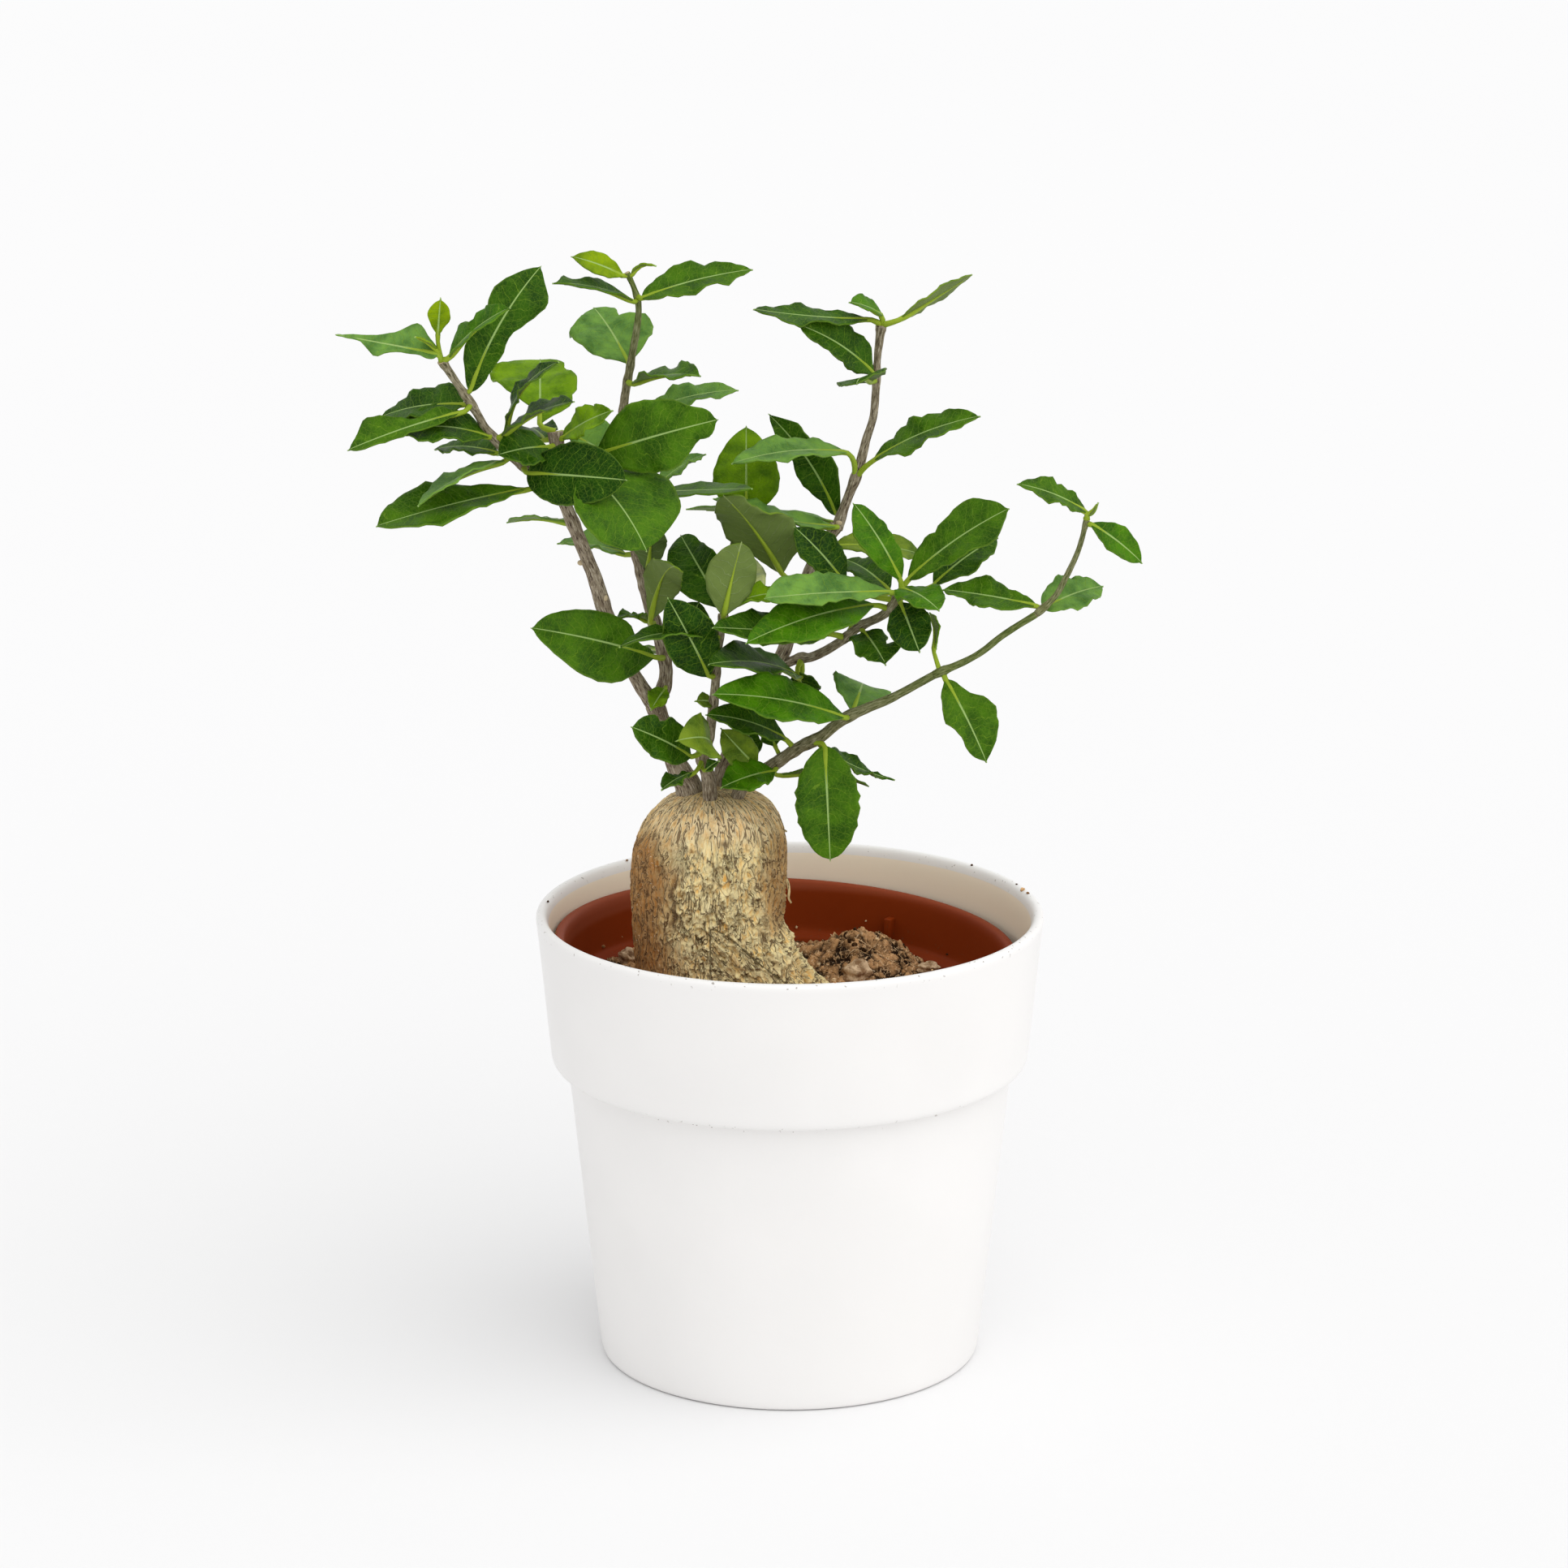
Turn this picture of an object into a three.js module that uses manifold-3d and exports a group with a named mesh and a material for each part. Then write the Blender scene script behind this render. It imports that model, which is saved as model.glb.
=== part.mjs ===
// A fockea edulis grown as a bonsai, in its nursery pot, in a white cover pot.
// Millimetres, +Z up. The origin is the middle of the cover pot's flat underside.

import * as THREE from "three";
import Module from "manifold-3d";
import { mergeVertices } from "three/addons/utils/BufferGeometryUtils.js";

const wasm = await Module();
wasm.setup();

// Driving dimensions

const GAP = 0.3; // clearance that separate pieces keep

const COVER = {
  height: 127.8,
  rimRadius: 70.5, // outside, at the lip
  baseRadius: 53.3,
  bandBottom: 85.2, // where the wide band steps in to the body
  bandRadius: 66.8, // outside, low on the band
  bodyTopRadius: 62,
  wall: 3,
  floor: 3,
  sides: 40,
};

const NURSERY = {
  height: 113,
  rimRadius: 64.4,
  baseRadius: 44,
  ledgeHeight: 97.5, // the stacking ledge below the wide upper band
  ledgeRadius: 57.5,
  bandRadius: 60.8,
  wall: 1.4,
  floor: 1.5,
  tilt: THREE.MathUtils.degToRad(2.5), // it stands a little askew, its left side high
  foot: [-6, 0, 5.4], // middle of its underside
  sides: 28,
};

const SOIL = {
  height: 97,
  swell: 1.1,
  lump: [23, 38],
  lumpHeight: 8,
  lumpRadius: 14,
  slack: 0.75,
  sides: 22,
};

const BLADE = {
  thickness: 0.8,
  least: 0.3, // half breadth, at its narrowest
  segment: 8, // the blade is built in lengths of about this
  fewest: 4,
  most: 6,
  habit: {
    widest: 0.5,
    base: 0.85,
    end: 0.62,
    bow: 0.06,
    sway: 0,
    fold: 12,
    wave: 0.8,
    waves: 2.4,
    lobes: [],
  },
};
const PETIOLE = { radius: 0.75, flare: 1.2, sag: 0.12, sides: 3, rings: 3, sunk: 0.1 };
const BRANCH = { segment: 8, sides: 5, fewest: 4 };

// Solids: closed meshes, joined and cut

const point = ([x, y, z]) => new THREE.Vector3(x, y, z);

function solid(geometry) {
  const bare = geometry.index ? geometry.clone() : geometry;
  for (const name of ["normal", "uv"]) bare.deleteAttribute(name);
  const merged = mergeVertices(bare, 1e-4);
  return new wasm.Manifold(
    new wasm.Mesh({
      numProp: 3,
      vertProperties: new Float32Array(merged.attributes.position.array),
      triVerts: new Uint32Array(merged.index.array),
    })
  );
}

function geometryOf(manifold) {
  const { vertProperties, triVerts } = manifold.getMesh();
  const geometry = new THREE.BufferGeometry();
  geometry.setAttribute("position", new THREE.BufferAttribute(vertProperties, 3));
  geometry.setIndex(new THREE.BufferAttribute(triVerts, 1));
  return geometry;
}

// Joins solids to one closed body. Pockets sealed inside are filled and loose scraps left out.
function join(solids) {
  const bodies = solids.reduce((whole, next) => whole.add(next)).decompose();
  return bodies.reduce((largest, body) => (body.volume() > largest.volume() ? body : largest));
}

function lathe(profile, sides) {
  const outline = profile.map(([radius, height]) => new THREE.Vector2(radius, height));
  const geometry = new THREE.LatheGeometry([...outline, outline[0]], sides);
  return geometry.rotateX(Math.PI / 2); // the lathe turns about Y; the pots stand along Z
}

// Closes a stack of rings, each a loop of as many points, with a fan at either end.
function stack(rings) {
  const sides = rings[0].length;
  const middles = [rings[0], rings.at(-1)].map((ring) =>
    ring.reduce((sum, p) => sum.clone().add(p)).divideScalar(sides)
  );
  const points = [...rings.flat(), ...middles];
  const index = [];
  const at = (ring, side) => ring * sides + (side % sides);
  for (let side = 0; side < sides; side++) {
    for (let ring = 0; ring + 1 < rings.length; ring++) {
      index.push(at(ring, side), at(ring, side + 1), at(ring + 1, side + 1));
      index.push(at(ring, side), at(ring + 1, side + 1), at(ring + 1, side));
    }
    index.push(points.length - 2, at(0, side + 1), at(0, side));
    index.push(points.length - 1, at(rings.length - 1, side), at(rings.length - 1, side + 1));
  }
  return new THREE.BufferGeometry().setFromPoints(points).setIndex(index);
}

// A tube along a curve whose radius runs through the given values, so a stem can taper and swell.
function taperedTube(curve, radii, sides, rings) {
  const { normals, binormals } = curve.computeFrenetFrames(rings, false);
  const loops = [];
  for (let ring = 0; ring <= rings; ring++) {
    const along = (ring / rings) * (radii.length - 1);
    const low = Math.min(Math.floor(along), radii.length - 2);
    const radius = THREE.MathUtils.lerp(radii[low], radii[low + 1], along - low);
    const middle = curve.getPointAt(ring / rings);
    loops.push(
      Array.from({ length: sides }, (_, side) => {
        const turn = (side / sides) * 2 * Math.PI;
        return middle
          .clone()
          .addScaledVector(normals[ring], radius * Math.cos(turn))
          .addScaledVector(binormals[ring], radius * Math.sin(turn));
      })
    );
  }
  return stack(loops);
}

// Leaves. A row gives where the blade starts and where its tip is, its breadth, the way its
// upper side faces, and its habit: widest (where along it the blade is widest), base and end
// (below 0.7 is full, above 1 is drawn in), bow (its midrib arches to the upper side), sway (the
// midrib curves sideways), fold (degrees that each half rises), wave and waves (of the edge), foot
// (where its stalk grows), and lobes, each a side, a place along the blade, how many mm the edge
// stands out there, and over what share of the length.

const leaf = (start, tip, breadth, face, habit = {}) => ({ start, tip, breadth, face, ...habit });

// From the midrib to the edge.
function halfBreadth({ breadth, widest, base, end, lobes }, t, side) {
  const lean = Math.log(0.5) / Math.log(widest);
  const power = t < widest ? base : end;
  const body = (breadth / 2) * Math.pow(Math.max(0, Math.sin(Math.PI * Math.pow(t, lean))), power);
  const pushes = lobes.map(([lobeSide, place, push, share]) =>
    lobeSide * side > 0 ? push * Math.exp(-Math.pow((t - place) / share, 2)) : 0
  );
  const fade = Math.min(1, 2 * Math.sin(Math.PI * t));
  return Math.max(BLADE.least, body + fade * pushes.reduce((sum, push) => sum + push, 0));
}

function bladeSolid(shape) {
  const row = { ...BLADE.habit, ...shape };
  const start = point(row.start);
  const forward = point(row.tip).sub(start);
  const length = forward.length();
  forward.normalize();
  const up = point(row.face);
  up.addScaledVector(forward, -up.dot(forward)).normalize();
  const left = new THREE.Vector3().crossVectors(up, forward);
  const rise = Math.sin(THREE.MathUtils.degToRad(row.fold));
  const steps = THREE.MathUtils.clamp(1 + Math.round(length / BLADE.segment), BLADE.fewest, BLADE.most);

  const place = (t, side, face) => {
    const arch = 4 * t * (1 - t) * length;
    const half = halfBreadth(row, t, side);
    const ripple = row.wave * Math.sin(2 * Math.PI * row.waves * t + 1.3 * side) * Math.sin(Math.PI * t);
    return start
      .clone()
      .addScaledVector(forward, t * length)
      .addScaledVector(left, row.sway * arch + side * half)
      .addScaledVector(up, row.bow * arch + Math.abs(side) * (half * rise + ripple))
      .addScaledVector(up, (face * BLADE.thickness) / 2);
  };

  // Each row across has left edge, midrib and right edge, on the upper face and the under face.
  const points = [];
  for (let step = 0; step <= steps; step++) {
    const ends = step === 0 || step === steps;
    const t = (1 - Math.cos((Math.PI * step) / steps)) / 2; // closer together near both ends
    for (const face of [1, -1]) for (const side of ends ? [0] : [1, 0, -1]) points.push(place(t, side, face));
  }
  const first = (step) => (step === 0 ? 0 : 2 + (step - 1) * 6);
  const vertex = (step, side, face) => {
    const ends = step === 0 || step === steps;
    const across = ends ? 0 : 1 - side;
    return first(step) + (face === 1 ? 0 : ends ? 1 : 3) + across;
  };
  const index = [];
  const add = (a, b, c) => {
    if (a !== b && b !== c && a !== c) index.push(a, b, c);
  };
  for (let step = 0; step < steps; step++) {
    for (const side of [1, 0]) {
      // the four corners of a patch beside the midrib, on the upper face and then the under face
      const corners = (face) => [
        vertex(step, side, face),
        vertex(step + 1, side, face),
        vertex(step + 1, side - 1, face),
        vertex(step, side - 1, face),
      ];
      const [a, b, c, d] = corners(1);
      add(a, c, b);
      add(a, d, c);
      const [e, f, g, h] = corners(-1);
      add(e, f, g);
      add(e, g, h);
    }
    for (const side of [1, -1]) {
      const [a, b] = [vertex(step, side, 1), vertex(step + 1, side, 1)];
      const [c, d] = [vertex(step, side, -1), vertex(step + 1, side, -1)];
      if (side === 1) {
        add(a, b, d);
        add(a, d, c);
      } else {
        add(a, d, b);
        add(a, c, d);
      }
    }
  }
  return solid(new THREE.BufferGeometry().setFromPoints(points).setIndex(index));
}

// The leaf stalk: from the heart of the stem it grows from, turning into the blade's midrib.
function petioleSolid(row, branches) {
  const start = point(row.start);
  const tip = point(row.tip);
  const forward = tip.clone().sub(start).normalize();
  const origin = row.foot ? point(row.foot) : nearestOn(branches, start);
  const reach = Math.max(1, origin.distanceTo(start));
  if (reach === 1) origin.copy(start).addScaledVector(forward, -reach);
  const bend = origin.clone().lerp(start, 0.6).addScaledVector(forward, -PETIOLE.sag * reach);
  const up = point(row.face);
  up.addScaledVector(forward, -up.dot(forward)).normalize();
  const { sunk, flare, sides, rings } = PETIOLE;
  const rise = (row.bow ?? BLADE.habit.bow) * 4 * sunk * (1 - sunk) * start.distanceTo(tip);
  const inBlade = start.clone().lerp(tip, sunk).addScaledVector(up, rise);
  const radius = Math.min(PETIOLE.radius, 0.3 + row.breadth * 0.045);
  const curve = new THREE.CatmullRomCurve3([origin, bend, start, inBlade]);
  return solid(taperedTube(curve, [radius * flare, radius, BLADE.thickness * 0.4], sides, rings));
}

function nearestOn(branches, place) {
  let best = null;
  for (const { curve } of branches) {
    for (const candidate of curve.getSpacedPoints(80)) {
      if (!best || candidate.distanceTo(place) < best.distanceTo(place)) best = candidate;
    }
  }
  return best.clone();
}

// A branch is a route and the radii that it runs through.
const branch = (route, radii, sides = BRANCH.sides) => {
  const curve = new THREE.CatmullRomCurve3(route.map(point), false, "centripetal");
  const rings = Math.max(BRANCH.fewest, Math.round(curve.getLength() / BRANCH.segment));
  return { curve, radii, sides, rings };
};

const branchSolid = ({ curve, radii, sides, rings }, grow = 0) =>
  solid(taperedTube(curve, radii.map((radius) => radius + grow), sides, rings));

function leafyStem(branches, leaves) {
  const wood = branches.map((one) => branchSolid(one));
  const foliage = leaves.flatMap((row) => [petioleSolid(row, branches), bladeSolid(row)]);
  return join([...wood, ...foliage]);
}

// The left stem forks low down. One arm leans left to a cut stub and a long shoot, and the
// other stands upright.

const leftBranches = [
  branch(
    [[-27, 2, 157], [-28, 1, 163], [-31, 0, 169], [-35, -1, 181], [-37, -2, 187]],
    [4.4, 3.6, 2.7, 2.6, 2.7],
    9
  ),
  branch(
    [
      [-36, -2, 185], [-42, -4, 195], [-46, -6, 204], [-50, -8, 214],
      [-53, -10, 225], [-58, -13, 239], [-62, -15, 250],
    ],
    [2.3, 1.9, 1.9, 2.2, 1.9, 1.8, 1.7],
    7
  ),
  branch(
    [
      [-62, -15, 249], [-67, -16, 253], [-77, -20, 263], [-81, -22, 268],
      [-84, -24, 274], [-88, -27, 281], [-92, -30, 288],
    ],
    [1.5, 1.4, 1.5, 1.1, 1.1, 1, 1.1]
  ),
  branch([[-62, -15, 248], [-62, -14, 257], [-63, -13, 265.5]], [1.6, 1.6, 1.9]),
  branch(
    [
      [-37, -2, 185], [-34, 0, 194], [-35, 3, 202], [-38, 6, 211],
      [-41, 10, 223], [-46, 14, 244], [-46, 14, 262],
    ],
    [2.2, 1.8, 1.7, 1.7, 1.5, 1.3, 1.2],
    6
  ),
  branch(
    [[-46, 14, 260], [-45, 13, 270], [-43, 12, 281], [-41, 10, 295], [-42, 9, 300], [-44, 8, 305]],
    [1.2, 1.2, 1, 1, 0.8, 0.6]
  ),
];

const leftLeaves = [
  // the long shoot, from its tip down
  leaf([-93, -31, 290], [-120, -30, 295], 10, [0, -0.9, 0.8], {
    widest: 0.4, base: 0.6, end: 1.2, fold: 10, wave: 0.4, bow: 0,
    lobes: [
      [-1, 0.25, 2.6, 0.12], [-1, 0.6, -2, 0.2], [1, 0.3, -3.4, 0.3],
      [1, 0.6, 1.8, 0.08], [1, 0.8, -1.6, 0.12],
    ],
  }),
  leaf([-93, -30, 294], [-92, -30, 305], 6, [0, -1, 0.1], { wave: 0.2, widest: 0.62, base: 1 }),
  leaf([-93, -31, 291], [-99, -33, 295], 3, [0, 0, 1], { wave: 0.1 }),
  leaf([-90, -31, 289], [-73, -40, 304], 11, [-0.7, -0.3, 0.7], {
    fold: 20, wave: 0.5,
    lobes: [[1, 0.25, 1.5, 0.12], [1, 0.48, -2.6, 0.1]],
  }),
  leaf([-85, -26, 279], [-66, -16, 311], 13, [0.3, -1, 0.3], {
    widest: 0.55, base: 0.5, fold: 8, wave: 0.6, waves: 1.6, sway: 0.06,
    lobes: [
      [1, 0.22, 0.8, 0.1], [1, 0.5, -1.8, 0.12], [1, 0.74, 0.8, 0.12],
      [-1, 0.25, -1, 0.15], [-1, 0.47, -2.3, 0.12], [-1, 0.82, 2.8, 0.14],
    ],
  }),
  leaf([-86, -27, 274], [-117, -36, 265], 9, [0, -0.7, 1], {
    widest: 0.6, fold: 8, bow: 0.03, wave: 0.5,
    lobes: [[-1, 0.2, 1.5, 0.1], [-1, 0.42, -1.6, 0.12], [-1, 0.78, 3.5, 0.13], [1, 0.65, -2.2, 0.25]],
  }),
  leaf([-87, -24, 275], [-110, -12, 269], 14, [0, -0.6, 1], { widest: 0.3 }),
  leaf([-80, -23, 266], [-106, -27, 268], 15, [0, -0.5, 1], { bow: 0.1, lobes: [[1, 0.75, 1.2, 0.1]] }),
  leaf([-78, -20, 261], [-96, -6, 259], 10, [0, -0.35, 1]),
  leaf([-76, -20, 259], [-99, -32, 249], 12, [0, 0.15, 1], { wave: 0.5 }),
  leaf([-69, -17, 251], [-110, -34, 244], 18, [0, -0.4, 1], { bow: 0.02, widest: 0.64 }),
  leaf([-76, -22, 266], [-61, -26, 287], 9, [-0.9, -0.1, 0.4], { bow: 0.14, widest: 0.62 }),
  leaf([-77, -22, 266], [-57, -30, 277], 14, [-0.2, -0.1, 1]),
  leaf([-70, -22, 256], [-43, -36, 257], 18, [0.2, -1, 0.5], {
    base: 0.5, end: 0.5, fold: 10, wave: 0.5, bow: 0.02,
  }),
  // the cut stub
  leaf([-65, -17, 262], [-78, -28, 262], 13, [0.1, -0.8, 0.8]),
  leaf([-66, -12, 263], [-72, 10, 261], 12, [0, 0, 1]),
  leaf([-67, -12, 267], [-68, 14, 280], 27, [0, -0.5, 1], {
    fold: 8, wave: 1, widest: 0.66,
    lobes: [[-1, 0.75, -5.5, 0.22], [-1, 0.18, 5, 0.14], [1, 0.2, -3, 0.14]],
  }),
  leaf([-61, -15, 264], [-47, -22, 273], 10, [-0.1, -0.7, 0.9]),
  leaf([-60, -12, 265], [-45, 0, 253], 15, [0.5, -0.8, 0.5]),
  leaf([-58, -20, 258], [-38, -38, 238], 29, [0.3, -0.55, 0.85], {
    bow: 0.12, fold: 4, wave: 0.7, widest: 0.62, end: 0.5,
    lobes: [[1, 0.6, 3.5, 0.3], [1, 0.9, 2.5, 0.12]],
  }),
  leaf([-52, -17, 260], [-19, -24, 271], 19, [0, -1, 0.4], {
    fold: 6, end: 0.5, foot: [-62, -14, 257],
    lobes: [[-1, 0.62, 1, 0.12], [-1, 0.84, -2.6, 0.1], [1, 0.3, 1.3, 0.2], [1, 0.87, -1.5, 0.1]],
  }),
  leaf([-59, -12, 240], [-77, -2, 238], 12, [0, 0.27, 1], { fold: 4, wave: 0.3 }),
  // the upright arm, from its tip down
  leaf([-45, 8, 304], [-59, 4, 310], 7, [0.2, -0.8, 0.7], { wave: 0.2 }),
  leaf([-43, 8, 304], [-36, 6, 307], 3, [0, 0.2, 1], { bow: 0.2, wave: 0.1 }),
  leaf([-42, 8, 297], [-64, 2, 303], 8, [0, -0.1, 1], {
    wave: 0.6, waves: 1, bow: 0.06,
    lobes: [[-1, 0.4, 1.5, 0.1], [-1, 0.88, 4, 0.06]],
  }),
  leaf([-40, 8, 298], [-10, 12, 305], 13, [0, -0.5, 1], {
    base: 0.55, wave: 0.8, bow: 0.04,
    lobes: [
      [1, 0.3, 0.8, 0.1], [1, 0.62, -1, 0.08], [1, 0.88, -1.2, 0.1],
      [-1, 0.62, -1, 0.08], [-1, 0.76, 1.3, 0.06], [-1, 0.9, -1.5, 0.1],
    ],
  }),
  leaf([-44, 14, 279], [-54, 32, 291], 24, [0.2, -0.9, 1], {
    fold: 5, wave: 1.3,
    lobes: [[-1, 0.74, -4.5, 0.14], [1, 0.3, -1.2, 0.12], [1, 0.9, -2, 0.1]],
  }),
  leaf([-43, 10, 274], [-24, 0, 278], 14, [0, -0.1, 1], { fold: 15, wave: 1.3, waves: 1.3 }),
  leaf([-41, 12, 265], [-14, 16, 271], 11, [0, -0.3, 1], { wave: 0.9 }),
  leaf([-37, 14, 244], [-23, 22, 252], 9, [-0.5, -0.25, 0.8], { fold: 15 }),
  leaf([-41, 9, 244], [-10, -14, 250], 11, [0, -0.2, 1], { fold: 4, wave: 0.3, bow: 0 }),
  leaf([-45, 12, 226], [-64, 12, 229], 13, [0, -0.1, 1]),
  leaf([-39, 8, 222], [-37, -6, 238], 9, [0, 1, 1]),
  leaf([-40, 9, 218], [-31, 18, 221], 9, [0, -0.4, 1]),
  leaf([-39, 4, 209], [-47, -6, 212], 7, [0, 0, 1], { fold: 10, bow: 0.1 }),
  leaf([-38, -3, 211], [-31, -24, 231], 11, [0.5, 0.8, 0.5], { bow: 0.12, sway: -0.08 }),
  leaf([-31, 6, 199], [-25, 16, 212], 12, [0.2, -0.9, 0.5]),
  leaf([-36, 6, 201], [-41, 26, 193], 12, [0, 0, 1]),
  leaf([-37, -4, 201], [-70, -20, 213], 20, [0, -1, 0.6], {
    fold: 12, wave: 0.5,
    lobes: [[1, 0.45, 2.2, 0.3], [-1, 0.55, -2.2, 0.3], [-1, 0.14, -3, 0.1]],
  }),
  leaf([-34, -4, 192], [-38, -9, 187], 6, [-0.3, -1, 0.3], { fold: 28 }),
];

// The short middle stem, with the low shoots at its foot.

const centreBranches = [
  branch(
    [
      [-21.5, -5, 156], [-22.5, -6, 168], [-24, -8, 174], [-22, -11, 181],
      [-20, -12, 198], [-19, -13, 209], [-18, -13, 215],
    ],
    [2.2, 2, 1.6, 1.4, 1.2, 1, 1.2],
    6
  ),
  branch(
    [[-18, -13, 214], [-17, -3, 217], [-17, 8, 222], [-15, 18, 230], [-12, 20, 237]],
    [0.9, 0.8, 0.8, 0.7]
  ),
];

const centreLeaves = [
  leaf([-12, 20, 236], [-12, 25, 259.5], 18.5, [0, -1, 0.2], {
    widest: 0.38, end: 0.6, fold: 6, wave: 0.5,
  }),
  leaf([-18, -11, 216], [-30, 14, 231], 17, [-0.3, -1, 0.8], { lobes: [[-1, 0.65, -3, 0.3]] }),
  leaf([-18, -15, 215], [-13, -16, 236], 14, [-0.2, 1, 0.1], { end: 0.5, wave: 0.5, bow: 0.04 }),
  leaf([-16, -6, 216], [-13, 20, 225], 16, [0, -0.6, 1], { fold: 0, bow: 0, wave: 0.3 }),
  leaf([-16, -12, 217], [3, -4, 217], 10, [0, -0.2, 1], { bow: 0.12 }),
  leaf([-21, -16, 209], [-46, -26, 209], 9, [0, -0.1, 1], { bow: 0.1, wave: 0.5 }),
  leaf([-22, -14, 198], [-33, -22, 222], 15, [0.2, -1, 0.2]),
  leaf([-21, -11, 190], [-26, -14, 191], 5, [0, -0.8, 0.8], { wave: 0.2 }),
  leaf([-22, -17, 178], [-31, -30, 184], 14, [-0.2, -0.9, 0.6], { bow: 0.26, wave: 0.5 }),
  leaf([-27, -16, 176], [-43, -26, 187], 14, [0.3, -0.9, 0.6], {
    end: 0.45,
    lobes: [[1, 0.5, -0.8, 0.3], [-1, 0.66, -2.2, 0.08]],
  }),
  leaf([-26, -14, 171], [-35, -22, 168], 7, [-0.3, -0.3, 1], { widest: 0.65 }),
  leaf([-23, -13, 171], [-19, -13, 174], 5, [0, -0.3, 1], { wave: 0.2 }),
];

// The tall stem leans right and carries a side branch that comes forward.

const tallBranches = [
  branch(
    [
      [-20, 6, 156], [-18, 7, 168], [-13, 9, 177], [-7, 12, 188],
      [-2, 15, 197], [2, 18, 209], [6, 20, 221], [13, 22, 232],
    ],
    [2.6, 2.1, 2, 2, 2, 1.7, 1.6, 1.7],
    7
  ),
  branch(
    [
      [13, 22, 231], [15, 22, 237], [19, 22, 248], [21, 22, 256],
      [23, 22, 263], [24, 22, 279], [25, 22, 288],
    ],
    [1.4, 1.3, 1.4, 1.1, 1.1, 1, 1.3]
  ),
  branch(
    [[-2, 15, 194], [3, 11, 197], [6, 8, 198], [13, 3, 203], [19, -2, 209], [26, -7, 214], [30, -10, 220]],
    [1.4, 1.3, 1.3, 1.2, 1.2, 1.2, 1.3]
  ),
];

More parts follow.
